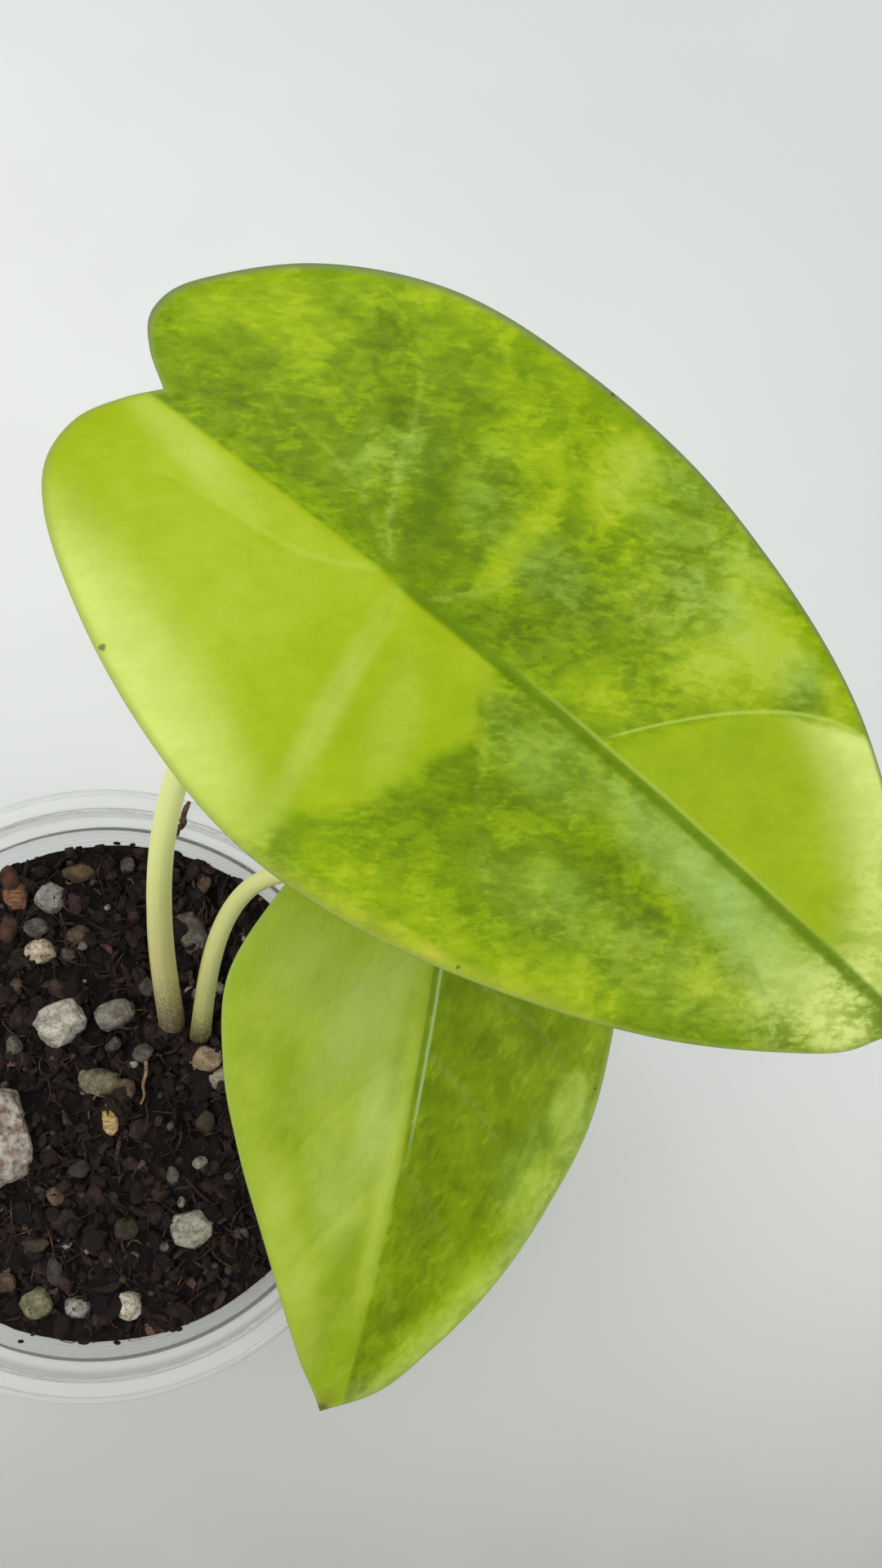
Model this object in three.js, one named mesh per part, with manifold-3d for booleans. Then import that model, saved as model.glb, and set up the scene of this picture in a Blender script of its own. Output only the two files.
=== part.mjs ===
// Potted Alocasia longiloba: two peltate leaves on arched stalks, in a clear cup of loose potting mix.
// Millimetres, +Z up, +Y away from the viewer, origin at the centre of the cup's flat base.

import * as THREE from 'three';
import { mergeVertices } from 'three/addons/utils/BufferGeometryUtils.js';
import Module from 'manifold-3d';

const wasm = await Module();
wasm.setup();

// Fit between neighbouring pieces
const GAP = 0.3;

// Cup: a thin tapered tub with a lid seat under a flat rim
const CUP_HEIGHT = 85;
const RIM_RADIUS = 47.5;
const RIM_INNER = 44;
const RIM_SKIRT = 2.7;
const SEAT_Z = 80.4;
const SEAT_OUTER = 43.2;
const SEAT_INNER = 41.4;
const BASE_INNER = 29.5;
const WALL = 0.8;
const HEEL = 1.2;
const EDGE = 0.7;
const SEAT_SLOPE = 0.4;
const CUP_SIDES = 48;
const DRAIN_COUNT = 5;
const DRAIN_RADIUS = 1.8;
const DRAIN_CIRCLE = 16;

// Potting mix
const SOIL_TOP = 73;
const SOIL_RINGS = 10;
const SOIL_SIDES = 44;
const SOIL_ROLL = 0.8;
const SOIL_BUMP = 0.5;
const CRUMB_COUNT = 78;
const CRUMB_SIZE = [1.1, 2.3];
const CRUMB_SINK = 0.15;
const CRUMB_ROOM = 1.3;
const CRUMB_SEED = 41;

// Corm under the stalks, with its feeding roots
const CORM_CENTRE = [11.9, 8.2, 59];
const CORM_RADII = [6.4, 5.8, 8.2];
const ROOT_COUNT = 6;
const ROOT_REACH = 18;
const ROOT_DROP = 38;
const ROOT_RADIUS = 1.1;
const ROOT_SIDES = 5;
const ROOT_STEPS = 6;

// Stalks: the four control points of each arch, its radius at the foot and near the blade
const STALKS = {
  large: {
    foot: [10.2, 9.2, 68],
    rise: [11.1, 18, 112.7],
    arch: [3.6, 48.3, 145.9],
    radii: [2.35, 1.45],
  },
  small: {
    foot: [14.6, 7.4, 68],
    rise: [17.4, 14.4, 110.4],
    arch: [16.5, 45.8, 107.3],
    radii: [1.95, 1.2],
  },
};
const STALK_SIDES = 10;
const STALK_STEPS = 30;
const STALK_FLARE = 0.5;
const FLARE_SHARE = 0.03;
const WELL_DEPTH = 3;

// Blades: where the stalk meets them, how they hang, and their outline from the notch to the tip
// (x runs along the midrib to the tip, y to the left edge; the outline is given for each half)
const BLADES = {
  large: {
    joint: [38.7, 53.3, 182.2],
    heading: -35,
    pitch: 13,
    roll: 5,
    droop: 0.0022,
    backDroop: 0.004,
    fold: 0.14,
    crease: 4,
    curl: 0.0012,
    wave: 0.6,
    notch: [-30.6, 0.6],
    tip: [87, -3],
    left: [[-34.2, 3], [-36.5, 6], [-36.4, 9.6], [-33.6, 14], [-26.3, 21], [-13.3, 27.4], [2.8, 30.1],
      [19.5, 30.6], [33.5, 28.6], [46.1, 25.6], [56.6, 22], [68.6, 16.1], [79.6, 7.4]],
    right: [[-33.2, -2.4], [-35.7, -7.4], [-35.4, -13], [-32.2, -17.6], [-23.2, -23.9], [-10.8, -29.6],
      [3.5, -33.2], [19, -32.8], [40.3, -27.9], [58.3, -21.4], [73.6, -13.4], [83.3, -7.4]],
    spacing: 0.09,
    perHalf: 31,
    rings: 12,
  },
  small: {
    joint: [49, 18.8, 133.4],
    heading: -97,
    pitch: 15,
    roll: -12,
    droop: 0.003,
    backDroop: 0.006,
    fold: 0.2,
    crease: 3,
    curl: 0.0015,
    wave: 0.5,
    notch: [-13.6, 0.4],
    tip: [72.4, -3.2],
    left: [[-17.6, 4.2], [-19.6, 10.4], [-15.2, 18.4], [-4.6, 24], [10, 25], [23.5, 24.4],
      [35.6, 21], [49.1, 15.9], [60, 10.6], [68.1, 5]],
    right: [[-17.2, -4.4], [-16.2, -12.8], [-11.4, -18.4], [-4.7, -23], [6.7, -28.4], [18.5, -27.3],
      [29.6, -23.6], [43.8, -17.3], [62.8, -8.5], [69.6, -4.6]],
    spacing: 0.09,
    perHalf: 25,
    rings: 10,
  },
};
const BLADE_HALF = [0.45, 0.32];
const RIPPLES = 7;
const KEEL = 1;
const KEEL_WIDTH = 1.5;
const KEEL_TAPER = 0.75;
const BOSS = 1.1;
const BOSS_WIDTH = 3;

// Larger lumps lying in the mix: place on the surface, full size, turn, and what they are made of
const LUMPS = {
  pumice_boulder: { at: [-19.4, -8], size: [16, 17, 12.5], turn: 20, kind: 'pumice' },
  perlite_block: { at: [-7.8, 10.4], size: [8.6, 7.2, 6.4], turn: 35, kind: 'perlite' },
  pumice_shard: { at: [0.8, 11.8], size: [6.8, 4.8, 4.6], turn: 25, kind: 'pumice' },
  perlite_left: { at: [-11.7, 22], size: [5.4, 4.4, 4.2], turn: 15, kind: 'perlite' },
  perlite_back: { at: [-10.4, 31], size: [5.2, 5, 4.4], turn: 60, kind: 'perlite' },
  bark_chip_back: { at: [-16.4, 31.4], size: [4.4, 5.8, 3.4], turn: 10, kind: 'bark' },
  pumice_mottled: { at: [-1.2, 0.6], size: [7.6, 4.4, 4.2], turn: -10, kind: 'pumice' },
  bark_sliver: { at: [0.8, -5], size: [2.8, 5.4, 2.4], turn: 8, kind: 'bark' },
  bark_chip_stalk: { at: [18.2, 1.6], size: [5, 4.2, 3.6], turn: 12, kind: 'bark' },
  pumice_side: { at: [13, 25.4], size: [5, 7.6, 4.2], turn: 20, kind: 'pumice' },
  perlite_front: { at: [14.3, -22.6], size: [6.8, 5.8, 5], turn: 15, kind: 'perlite' },
  pumice_front: { at: [-9.8, -34], size: [5, 4.8, 4], turn: 30, kind: 'pumice' },
  perlite_rim: { at: [-3.3, -34.6], size: [4.2, 3.4, 3.2], turn: 0, kind: 'perlite' },
  perlite_corner: { at: [4.9, -34.4], size: [3.8, 4.6, 4], turn: 10, kind: 'perlite' },
};
const LUMP_RISE = 0.12;
const LUMP_BLOCKY = 0.8;
const LUMP_ROUGH = [0.86, 1.08];

const COLOURS = {
  cup: { color: 0xd9dcdc, roughness: 0.25, metalness: 0 },
  soil: { color: 0x231a17, roughness: 0.95, metalness: 0 },
  corm: { color: 0x6a4a32, roughness: 0.8, metalness: 0 },
  stalk: { color: 0xb9c46c, roughness: 0.5, metalness: 0 },
  blade: { color: 0x8fb021, roughness: 0.42, metalness: 0 },
  pumice: { color: 0x9c938a, roughness: 0.95, metalness: 0 },
  perlite: { color: 0xd2cabf, roughness: 0.9, metalness: 0 },
  bark: { color: 0xa07c54, roughness: 0.9, metalness: 0 },
};

const radians = THREE.MathUtils.degToRad;
const vector = (point) => new THREE.Vector3(...point);

// A repeatable stream of numbers from 0 to 1
function randomStream(seed) {
  let state = seed;
  return () => {
    state = (state * 1664525 + 1013904223) % 4294967296;
    return state / 4294967296;
  };
}

// Closed geometry with shared vertices and outward faces
function closed(geometry) {
  const bare = new THREE.BufferGeometry();
  bare.setAttribute('position', geometry.getAttribute('position').clone());
  const count = bare.getAttribute('position').count;
  bare.setIndex(geometry.index ? geometry.index.clone() : [...Array(count).keys()]);
  const merged = mergeVertices(bare, 1e-4);
  const index = merged.index.array;
  const position = merged.getAttribute('position');
  const kept = [];
  let volume = 0;
  const [a, b, c] = [new THREE.Vector3(), new THREE.Vector3(), new THREE.Vector3()];
  for (let i = 0; i < index.length; i += 3) {
    const [p, q, r] = [index[i], index[i + 1], index[i + 2]];
    if (p === q || q === r || r === p) continue;
    kept.push(p, q, r);
    a.fromBufferAttribute(position, p);
    b.fromBufferAttribute(position, q);
    c.fromBufferAttribute(position, r);
    volume += a.dot(b.cross(c));
  }
  if (volume < 0) {
    for (let i = 0; i < kept.length; i += 3) {
      [kept[i + 1], kept[i + 2]] = [kept[i + 2], kept[i + 1]];
    }
  }
  merged.setIndex(kept);
  return merged;
}

function toSolid(geometry) {
  const shape = closed(geometry);
  return new wasm.Manifold(new wasm.Mesh({
    numProp: 3,
    vertProperties: new Float32Array(shape.getAttribute('position').array),
    triVerts: new Uint32Array(shape.index.array),
  }));
}

function toGeometry(solid) {
  const mesh = solid.getMesh();
  const geometry = new THREE.BufferGeometry();
  geometry.setAttribute('position', new THREE.BufferAttribute(new Float32Array(mesh.vertProperties), 3));
  geometry.setIndex([...mesh.triVerts]);
  return geometry;
}

function piece(name, geometry, look) {
  const mesh = new THREE.Mesh(geometry, new THREE.MeshStandardMaterial(COLOURS[look]));
  mesh.name = name;
  return mesh;
}

// A round body turned about +Z from its section, given as radius and height
function turned(profile, sides) {
  const points = profile.map(([radius, z]) => new THREE.Vector2(radius, z));
  return new THREE.LatheGeometry(points, sides).rotateX(Math.PI / 2);
}

// A tube of changing radius along a curve, closed at both ends
function sweep(curve, radiusAt, sides, steps, endAxes = null) {
  const frames = curve.computeFrenetFrames(steps, false);
  const positions = [];
  const indices = [];
  const at = (step, side) => step * sides + (side % sides);
  for (let i = 0; i <= steps; i += 1) {
    const centre = curve.getPointAt(i / steps);
    const radius = radiusAt(i / steps);
    const last = endAxes && i === steps;
    const right = last ? endAxes[0] : frames.normals[i];
    const up = last ? endAxes[1] : frames.binormals[i];
    for (let j = 0; j < sides; j += 1) {
      const angle = (2 * Math.PI * j) / sides;
      const point = centre.clone();
      point.addScaledVector(right, radius * Math.cos(angle));
      point.addScaledVector(up, radius * Math.sin(angle));
      positions.push(...point.toArray());
    }
  }
  const foot = positions.length / 3;
  positions.push(...curve.getPointAt(0).toArray(), ...curve.getPointAt(1).toArray());
  for (let j = 0; j < sides; j += 1) {
    for (let i = 0; i < steps; i += 1) {
      indices.push(at(i, j), at(i, j + 1), at(i + 1, j + 1));
      indices.push(at(i, j), at(i + 1, j + 1), at(i + 1, j));
    }
    indices.push(foot, at(0, j + 1), at(0, j));
    indices.push(foot + 1, at(steps, j), at(steps, j + 1));
  }
  const geometry = new THREE.BufferGeometry();
  geometry.setAttribute('position', new THREE.Float32BufferAttribute(positions, 3));
  geometry.setIndex(indices);
  return geometry;
}

// Cup

const wallInner = (z) => BASE_INNER + ((SEAT_INNER - BASE_INNER) * (z - WALL)) / (SEAT_Z - WALL);

function cup() {
  const outerTop = wallInner(SEAT_Z - WALL) + WALL;
  const profile = [
    [0, 0],
    [BASE_INNER + WALL - HEEL, 0],
    [BASE_INNER + WALL, HEEL],
    [outerTop, SEAT_Z - WALL],
    [SEAT_OUTER + WALL, SEAT_Z - WALL + SEAT_SLOPE],
    [RIM_INNER + WALL / 2, CUP_HEIGHT - WALL],
    [RIM_RADIUS - WALL, CUP_HEIGHT - WALL],
    [RIM_RADIUS - WALL, CUP_HEIGHT - RIM_SKIRT],
    [RIM_RADIUS, CUP_HEIGHT - RIM_SKIRT],
    [RIM_RADIUS, CUP_HEIGHT - EDGE],
    [RIM_RADIUS - EDGE, CUP_HEIGHT],
    [RIM_INNER, CUP_HEIGHT],
    [RIM_INNER - EDGE / 2, CUP_HEIGHT - EDGE],
    [SEAT_OUTER, SEAT_Z + SEAT_SLOPE],
    [SEAT_INNER, SEAT_Z],
    [wallInner(WALL + HEEL), WALL + HEEL],
    [BASE_INNER - HEEL / 2, WALL],
    [0, WALL],
  ];
  let body = toSolid(turned(profile, CUP_SIDES));
  for (let i = 0; i < DRAIN_COUNT; i += 1) {
    const angle = (2 * Math.PI * i) / DRAIN_COUNT;
    const hole = new THREE.CylinderGeometry(DRAIN_RADIUS, DRAIN_RADIUS, 4 * WALL, 12).rotateX(Math.PI / 2);
    hole.translate(DRAIN_CIRCLE * Math.cos(angle), DRAIN_CIRCLE * Math.sin(angle), WALL / 2);
    body = body.subtract(toSolid(hole));
  }
  return piece('cup', toGeometry(body), 'cup');
}

// Potting mix

function soilHeight(x, y) {
  const rolling = Math.sin(0.23 * x + 1.3) * Math.cos(0.21 * y + 0.4);
  const lumpy = Math.sin(0.62 * x - 0.41 * y) + Math.cos(0.37 * x + 0.83 * y + 2);
  return SOIL_TOP + SOIL_ROLL * rolling + SOIL_BUMP * lumpy;
}

function crumbs(clear) {
  const random = randomStream(CRUMB_SEED);
  const found = [];
  for (let i = 0; i < CRUMB_COUNT; i += 1) {
    const size = CRUMB_SIZE[0] + (CRUMB_SIZE[1] - CRUMB_SIZE[0]) * random();
    const reach = wallInner(SOIL_TOP) * (1 - 1 / SOIL_RINGS) * Math.sqrt(random());
    const angle = 2 * Math.PI * random();
    const [x, y] = [reach * Math.cos(angle), reach * Math.sin(angle)];
    const shape = new THREE.IcosahedronGeometry(size, 0);
    shape.scale(0.7 + 0.5 * random(), 0.7 + 0.5 * random(), 0.6 + 0.4 * random());
    shape.rotateX(6 * random()).rotateZ(6 * random());
    shape.translate(x, y, soilHeight(x, y) - CRUMB_SINK * size);
    const crowded = clear.some(([cx, cy, radius]) => Math.hypot(x - cx, y - cy) < radius + CRUMB_ROOM * size);
    if (!crowded) found.push(toSolid(shape));
  }
  return found;
}

function soil(pockets) {
  const floor = WALL + GAP;
  const topRadius = wallInner(SOIL_TOP) - GAP;
  const profile = [[0, floor], [BASE_INNER - HEEL - GAP, floor], [BASE_INNER - GAP, floor + HEEL]];
  for (const z of [25, 49]) profile.push([wallInner(z) - GAP, z]);
  for (let i = SOIL_RINGS; i >= 0; i -= 1) profile.push([(topRadius * i) / SOIL_RINGS, SOIL_TOP]);
  const block = turned(profile, SOIL_SIDES);
  const position = block.getAttribute('position');
  for (let i = 0; i < position.count; i += 1) {
    const [x, y, z] = [position.getX(i), position.getY(i), position.getZ(i)];
    const edge = Math.hypot(x, y) > topRadius - 0.01;
    if (z > SOIL_TOP - 0.01) position.setZ(i, edge ? SOIL_TOP : soilHeight(x, y));
  }
  const clear = Object.values(LUMPS).map(({ at, size }) => [...at, 0.55 * Math.max(...size)]);
  for (const { foot, radii } of Object.values(STALKS)) clear.push([foot[0], foot[1] + radii[0], 1.5 * radii[0]]);
  const heap = wasm.Manifold.union([toSolid(block), ...crumbs(clear)]);
  const body = heap.subtract(wasm.Manifold.union(pockets.map(toSolid)));
  return piece('potting_mix', toGeometry(body), 'soil');
}

function lumpShape(name, grow) {
  const { at, size, turn } = LUMPS[name];
  const random = randomStream(name.length * 97 + size[0] * 13);
  const shape = closed(new THREE.IcosahedronGeometry(1, 1));
  const position = shape.getAttribute('position');
  for (let i = 0; i < position.count; i += 1) {
    const point = new THREE.Vector3().fromBufferAttribute(position, i);
    const blocky = (value) => Math.sign(value) * Math.abs(value) ** LUMP_BLOCKY;
    point.set(blocky(point.x), blocky(point.y), blocky(point.z));
    point.multiplyScalar(THREE.MathUtils.lerp(...LUMP_ROUGH, random()));
    position.setXYZ(i, ...point.toArray());
  }
  shape.scale(size[0] / 2 + grow, size[1] / 2 + grow, size[2] / 2 + grow);
  shape.rotateZ(radians(turn));
  shape.translate(at[0], at[1], soilHeight(...at) + LUMP_RISE * size[2]);
  return shape;
}

// Corm and roots

function corm(grow) {
  const body = new THREE.SphereGeometry(1, 14, 10).rotateX(Math.PI / 2);
  body.scale(...CORM_RADII.map((radius) => radius + grow));
  body.translate(...CORM_CENTRE);
  const parts = [toSolid(body)];
  for (let i = 0; i < ROOT_COUNT; i += 1) {
    const angle = (2 * Math.PI * (i + 0.3 * Math.sin(5 * i))) / ROOT_COUNT;
    const reach = ROOT_REACH * (0.6 + 0.2 * Math.cos(3 * i));
    const out = new THREE.Vector3(Math.cos(angle), Math.sin(angle), 0);
    const start = vector(CORM_CENTRE).add(new THREE.Vector3(0, 0, -CORM_RADII[2] * 0.4));
    const path = new THREE.QuadraticBezierCurve3(
      start,
      start.clone().addScaledVector(out, reach * 0.75),
      start.clone().addScaledVector(out, reach).add(new THREE.Vector3(0, 0, -ROOT_DROP)),
    );
    parts.push(toSolid(sweep(path, (u) => ROOT_RADIUS * (1 - 0.55 * u) + grow, ROOT_SIDES, ROOT_STEPS)));
  }
  return wasm.Manifold.union(parts);
}

// Leaves

// The blade's own axes in the part: along the midrib, to the left edge, and out of the upper face
function bladeAxes({ heading, pitch, roll }) {
  const turn = radians(heading);
  const dip = radians(pitch);
  const along = vector([Math.cos(turn) * Math.cos(dip), Math.sin(turn) * Math.cos(dip), -Math.sin(dip)]);
  const level = vector([-Math.sin(turn), Math.cos(turn), 0]);
  const left = level.applyAxisAngle(along, radians(roll));
  return [along, left, along.clone().cross(left)];
}

// Height of the blade's middle surface over its own flat plane
function bladeHeight(blade, x, y) {
  const droop = (x > 0 ? blade.droop : blade.backDroop) * x * x;
  const fold = blade.fold * (Math.hypot(y, blade.crease) - blade.crease);
  return fold - droop - blade.curl * y * y;
}

// Outline points evenly eased from the notch to the tip along one half
function halfOutline(blade, side, count) {
  const points = [blade.notch, ...blade[side], blade.tip].map(([x, y]) => new THREE.Vector3(x, y, 0));
  const curve = new THREE.CatmullRomCurve3(points, false, 'centripetal');
  const found = [];
  for (let i = 0; i <= count; i += 1) {
    const u = i / count;
    found.push(curve.getPointAt(u - blade.spacing * Math.sin(2 * Math.PI * u)));
  }
  return found;
}

// A thin leaf blade: rays run from the stalk's joint to the outline, alike on both faces
function bladeGeometry(blade) {
  const left = halfOutline(blade, 'left', blade.perHalf).reverse();
  const right = halfOutline(blade, 'right', blade.perHalf);
  const outline = [...left, ...right.slice(1, -1)];
  const count = outline.length;
  const face = 1 + count * blade.rings;
  const at = (ring, ray) => 1 + (ring - 1) * count + (ray % count);
  const positions = [];
  for (const side of [1, -1]) {
    for (let ring = 0; ring <= blade.rings; ring += 1) {
      const share = ring / blade.rings;
      const rays = ring === 0 ? [new THREE.Vector3()] : outline;
      rays.forEach((edge, ray) => {
        const [x, y] = [edge.x * share, edge.y * share];
        const ripple = blade.wave * share ** 3 * Math.sin((2 * Math.PI * RIPPLES * ray) / count);
        const half = THREE.MathUtils.lerp(BLADE_HALF[0], BLADE_HALF[1], share);
        const keel = KEEL * (1 - KEEL_TAPER * share) * Math.exp(-((y / KEEL_WIDTH) ** 2));
        const boss = BOSS * Math.exp(-(x * x + y * y) / BOSS_WIDTH ** 2);
        const under = side < 0 ? Math.max(keel, boss) : 0;
        positions.push(x, y, bladeHeight(blade, x, y) + ripple + side * half - under);
      });
    }
  }
  const indices = [];
  for (let j = 0; j < count; j += 1) {
    indices.push(0, at(1, j), at(1, j + 1));
    indices.push(face, face + at(1, j + 1), face + at(1, j));
    for (let i = 1; i < blade.rings; i += 1) {
      const [a, b, c, d] = [at(i, j), at(i + 1, j), at(i + 1, j + 1), at(i, j + 1)];
      indices.push(a, b, c, a, c, d);
      indices.push(face + a, face + c, face + b, face + a, face + d, face + c);
    }
    const [top, next] = [at(blade.rings, j), at(blade.rings, j + 1)];
    indices.push(top, face + top, face + next, top, face + next, next);
  }
  const geometry = new THREE.BufferGeometry();
  geometry.setAttribute('position', new THREE.Float32BufferAttribute(positions, 3));
  geometry.setIndex(indices);
  return geometry;
}

function bladePiece(name) {
  const blade = BLADES[name];
  const mesh = piece(`blade_${name}`, bladeGeometry(blade), 'blade');
  mesh.position.set(...blade.joint);
  mesh.setRotationFromMatrix(new THREE.Matrix4().makeBasis(...bladeAxes(blade)));
  return mesh;
}

// The stalk ends just under the swelling where the blade's ribs meet
function stalkGeometry(name, grow) {
  const { foot, rise, arch, radii } = STALKS[name];
  const axes = bladeAxes(BLADES[name]);
  const drop = BLADE_HALF[0] + BOSS + GAP;
  const top = vector(BLADES[name].joint).addScaledVector(axes[2], -drop);
  const curve = new THREE.CubicBezierCurve3(vector(foot), vector(rise), vector(arch), top);
  const radiusAt = (u) => {
    const flare = STALK_FLARE * Math.exp(-(((1 - u) / FLARE_SHARE) ** 2));
    return THREE.MathUtils.lerp(...radii, Math.sqrt(u)) + flare + grow;
  };
  return sweep(curve, radiusAt, STALK_SIDES, STALK_STEPS, [axes[0], axes[1]]);
}

// The plain hole that a stalk stands in, open to the corm below it
function stalkHole(name) {
  const { foot, radii } = STALKS[name];
  const well = new THREE.CylinderGeometry(radii[0], radii[0], WELL_DEPTH, STALK_SIDES).rotateX(Math.PI / 2);
  well.translate(foot[0], foot[1], foot[2] - WELL_DEPTH / 2 + GAP);
  return toGeometry(toSolid(stalkGeometry(name, GAP)).add(toSolid(well)));
}

const plant = new THREE.Group();
plant.add(cup());
const stalkHoles = Object.keys(STALKS).map(stalkHole);
const lumpPockets = Object.keys(LUMPS).map((name) => lumpShape(name, GAP));
plant.add(soil([toGeometry(corm(GAP)), ...stalkHoles, ...lumpPockets]));
plant.add(piece('corm', toGeometry(corm(0)), 'corm'));
for (const name of Object.keys(LUMPS)) {
  plant.add(piece(name, lumpShape(name, 0), LUMPS[name].kind));
}
for (const name of Object.keys(STALKS)) {
  plant.add(piece(`stalk_${name}`, stalkGeometry(name, 0), 'stalk'));
}
for (const name of Object.keys(BLADES)) {
  plant.add(bladePiece(name));
}

export default plant;
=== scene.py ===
import itertools
import math

import bmesh
import bpy
import numpy as np
from mathutils import Matrix, Vector


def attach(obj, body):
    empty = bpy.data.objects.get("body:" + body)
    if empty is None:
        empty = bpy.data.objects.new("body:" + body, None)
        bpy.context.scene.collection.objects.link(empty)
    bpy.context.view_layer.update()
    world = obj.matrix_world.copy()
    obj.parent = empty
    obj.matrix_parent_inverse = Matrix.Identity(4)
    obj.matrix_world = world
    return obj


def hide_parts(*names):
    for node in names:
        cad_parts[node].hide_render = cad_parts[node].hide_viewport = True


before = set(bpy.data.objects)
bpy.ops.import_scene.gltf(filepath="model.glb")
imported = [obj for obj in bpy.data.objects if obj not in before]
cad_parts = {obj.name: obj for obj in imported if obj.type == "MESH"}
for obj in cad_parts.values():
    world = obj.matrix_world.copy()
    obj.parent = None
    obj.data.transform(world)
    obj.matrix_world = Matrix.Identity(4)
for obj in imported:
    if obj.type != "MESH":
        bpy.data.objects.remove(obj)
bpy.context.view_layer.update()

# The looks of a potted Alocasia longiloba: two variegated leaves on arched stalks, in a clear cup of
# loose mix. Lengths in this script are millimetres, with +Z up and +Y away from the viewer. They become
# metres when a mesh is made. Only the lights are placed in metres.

MM = 0.001
scene = bpy.context.scene

# The camera of the photograph, which looks down on the plant from a hand's reach
CAMERA_AT = (27.17, -2.39, 349.28)
CAMERA_RIGHT = (0.99498, 0.0, 0.1001)
CAMERA_UP = (-0.01911, 0.98164, 0.1899)
CAMERA_BACK = (-0.09826, -0.19086, 0.9767)
CAMERA_LENS = 37.5

# Cup
CUP_HEIGHT = 85
RIM_RADIUS = 47.5
RIM_INNER = 44
RIM_SKIRT = 2.7
SEAT_Z = 80.4
SEAT_OUTER = 43.2
SEAT_INNER = 41.4
BASE_INNER = 29.5
WALL = 0.8
HEEL = 1.2
EDGE = 0.7
SEAT_SLOPE = 0.4
CUP_SIDES = 200
DRAIN_COUNT = 5
DRAIN_RADIUS = 1.8
DRAIN_CIRCLE = 16
DRAIN_SIDES = 32

# Potting mix
SOIL_TOP = 73
SOIL_FLOOR = 1.1
SOIL_GAP = 0.3
WALL_CLEAR = 0.25
SOIL_SIDES = 380
SOIL_RINGS = 84
SOIL_ROWS = 92

# How many loose bits of each kind there are, and points along a fibre and a shred
CRUMBS = 2600
BED_CRUMBS = 46
WALL_CRUMBS = 1900
FIBRES = 700
SHREDS = 1000
TOP_GRIT = 150
WALL_GRIT = 210
FIBRE_STEPS = 9
SHRED_STEPS = 7

# Stalks: foot, two control points, and radius at the foot and near the blade
STALKS = {
    "large": ((10.2, 9.2, 68), (11.1, 18, 112.7), (3.6, 48.3, 145.9), (2.35, 1.45)),
    "small": ((14.6, 7.4, 68), (17.4, 14.4, 110.4), (16.5, 45.8, 107.3), (1.95, 1.2)),
}
STALK_FLARE = 0.5
FLARE_SHARE = 0.03
STALK_SIDES = 48
STALK_STEPS = 190

# Blades, in their own axes: x along the midrib to the tip, y to the left edge
BLADES = {
    "large": {
        "joint": (38.7, 53.3, 182.2), "heading": -35, "pitch": 13, "roll": 5,
        "droop": 0.0022, "back_droop": 0.004, "fold": 0.14, "crease": 4, "curl": 0.0012, "wave": 0.6,
        "notch": (-30.6, 0.6), "tip": (87, -3),
        "left": [(-34.2, 3), (-36.5, 6), (-36.4, 9.6), (-33.6, 14), (-26.3, 21), (-13.3, 27.4), (2.8, 30.1),
                 (19.5, 30.6), (33.5, 28.6), (46.1, 25.6), (56.6, 22), (68.6, 16.1), (79.6, 7.4)],
        "right": [(-33.2, -2.4), (-35.7, -7.4), (-35.4, -13), (-32.2, -17.6), (-23.2, -23.9), (-10.8, -29.6),
                  (3.5, -33.2), (19, -32.8), (40.3, -27.9), (58.3, -21.4), (73.6, -13.4), (83.3, -7.4)],
        "per_half": 205, "rings": 100,
    },
    "small": {
        "joint": (49, 18.8, 133.4), "heading": -97, "pitch": 15, "roll": -12,
        "droop": 0.003, "back_droop": 0.006, "fold": 0.2, "crease": 3, "curl": 0.0015, "wave": 0.5,
        "notch": (-13.6, 0.4), "tip": (72.4, -3.2),
        "left": [(-17.6, 4.2), (-19.6, 10.4), (-15.2, 18.4), (-4.6, 24), (10, 25), (23.5, 24.4),
                 (35.6, 21), (49.1, 15.9), (60, 10.6), (68.1, 5)],
        "right": [(-17.2, -4.4), (-16.2, -12.8), (-11.4, -18.4), (-4.7, -23), (6.7, -28.4), (18.5, -27.3),
                  (29.6, -23.6), (43.8, -17.3), (62.8, -8.5), (69.6, -4.6)],
        "per_half": 170, "rings": 84,
    },
}
OUTLINE_SPACING = 0.09
RIPPLES = 7
BLADE_HALF = (0.36, 0.24)
KEEL = 1
KEEL_WIDTH = 1.5
KEEL_TAPER = 0.75
BOSS = 1.1
BOSS_WIDTH = 3
RIM_ROUND = 0.4


def hex_colour(code):
    """Linear colour of an sRGB code such as #A9BE32."""
    values = [int(code[i : i + 2], 16) / 255 for i in (1, 3, 5)]
    return [v / 12.92 if v <= 0.04045 else ((v + 0.055) / 1.055) ** 2.4 for v in values] + [1.0]


# Seeded noise

def lattice_noise(points, seed):
    """Smooth noise from -1 to 1 at each point, one lattice cell a unit wide."""
    cell = np.floor(points).astype(np.int64)
    part = points - cell
    fade = part * part * (3 - 2 * part)
    total = np.zeros(len(points))
    for corner in itertools.product((0, 1), repeat=3):
        at = cell + corner
        mixed = at[:, 0] * 73856093 ^ at[:, 1] * 19349663 ^ at[:, 2] * 83492791 ^ (seed * 2654435761)
        mixed = (mixed ^ (mixed >> 13)) * 1274126177 & 0xFFFFFFFF
        mixed = (mixed ^ (mixed >> 16)) * 2246822519 & 0xFFFFFFFF
        value = mixed / 0x7FFFFFFF - 1
        total += value * np.prod(np.where(corner, fade, 1 - fade), axis=1)
    return total


def layered_noise(points, size, layers, seed=0):
    """Several sizes of noise added up, the largest of that size."""
    total = np.zeros(len(points))
    for layer in range(layers):
        total += 0.5**layer * lattice_noise(points * 2**layer / size, seed + layer)
    return total / (2 - 0.5 ** (layers - 1))


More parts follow.
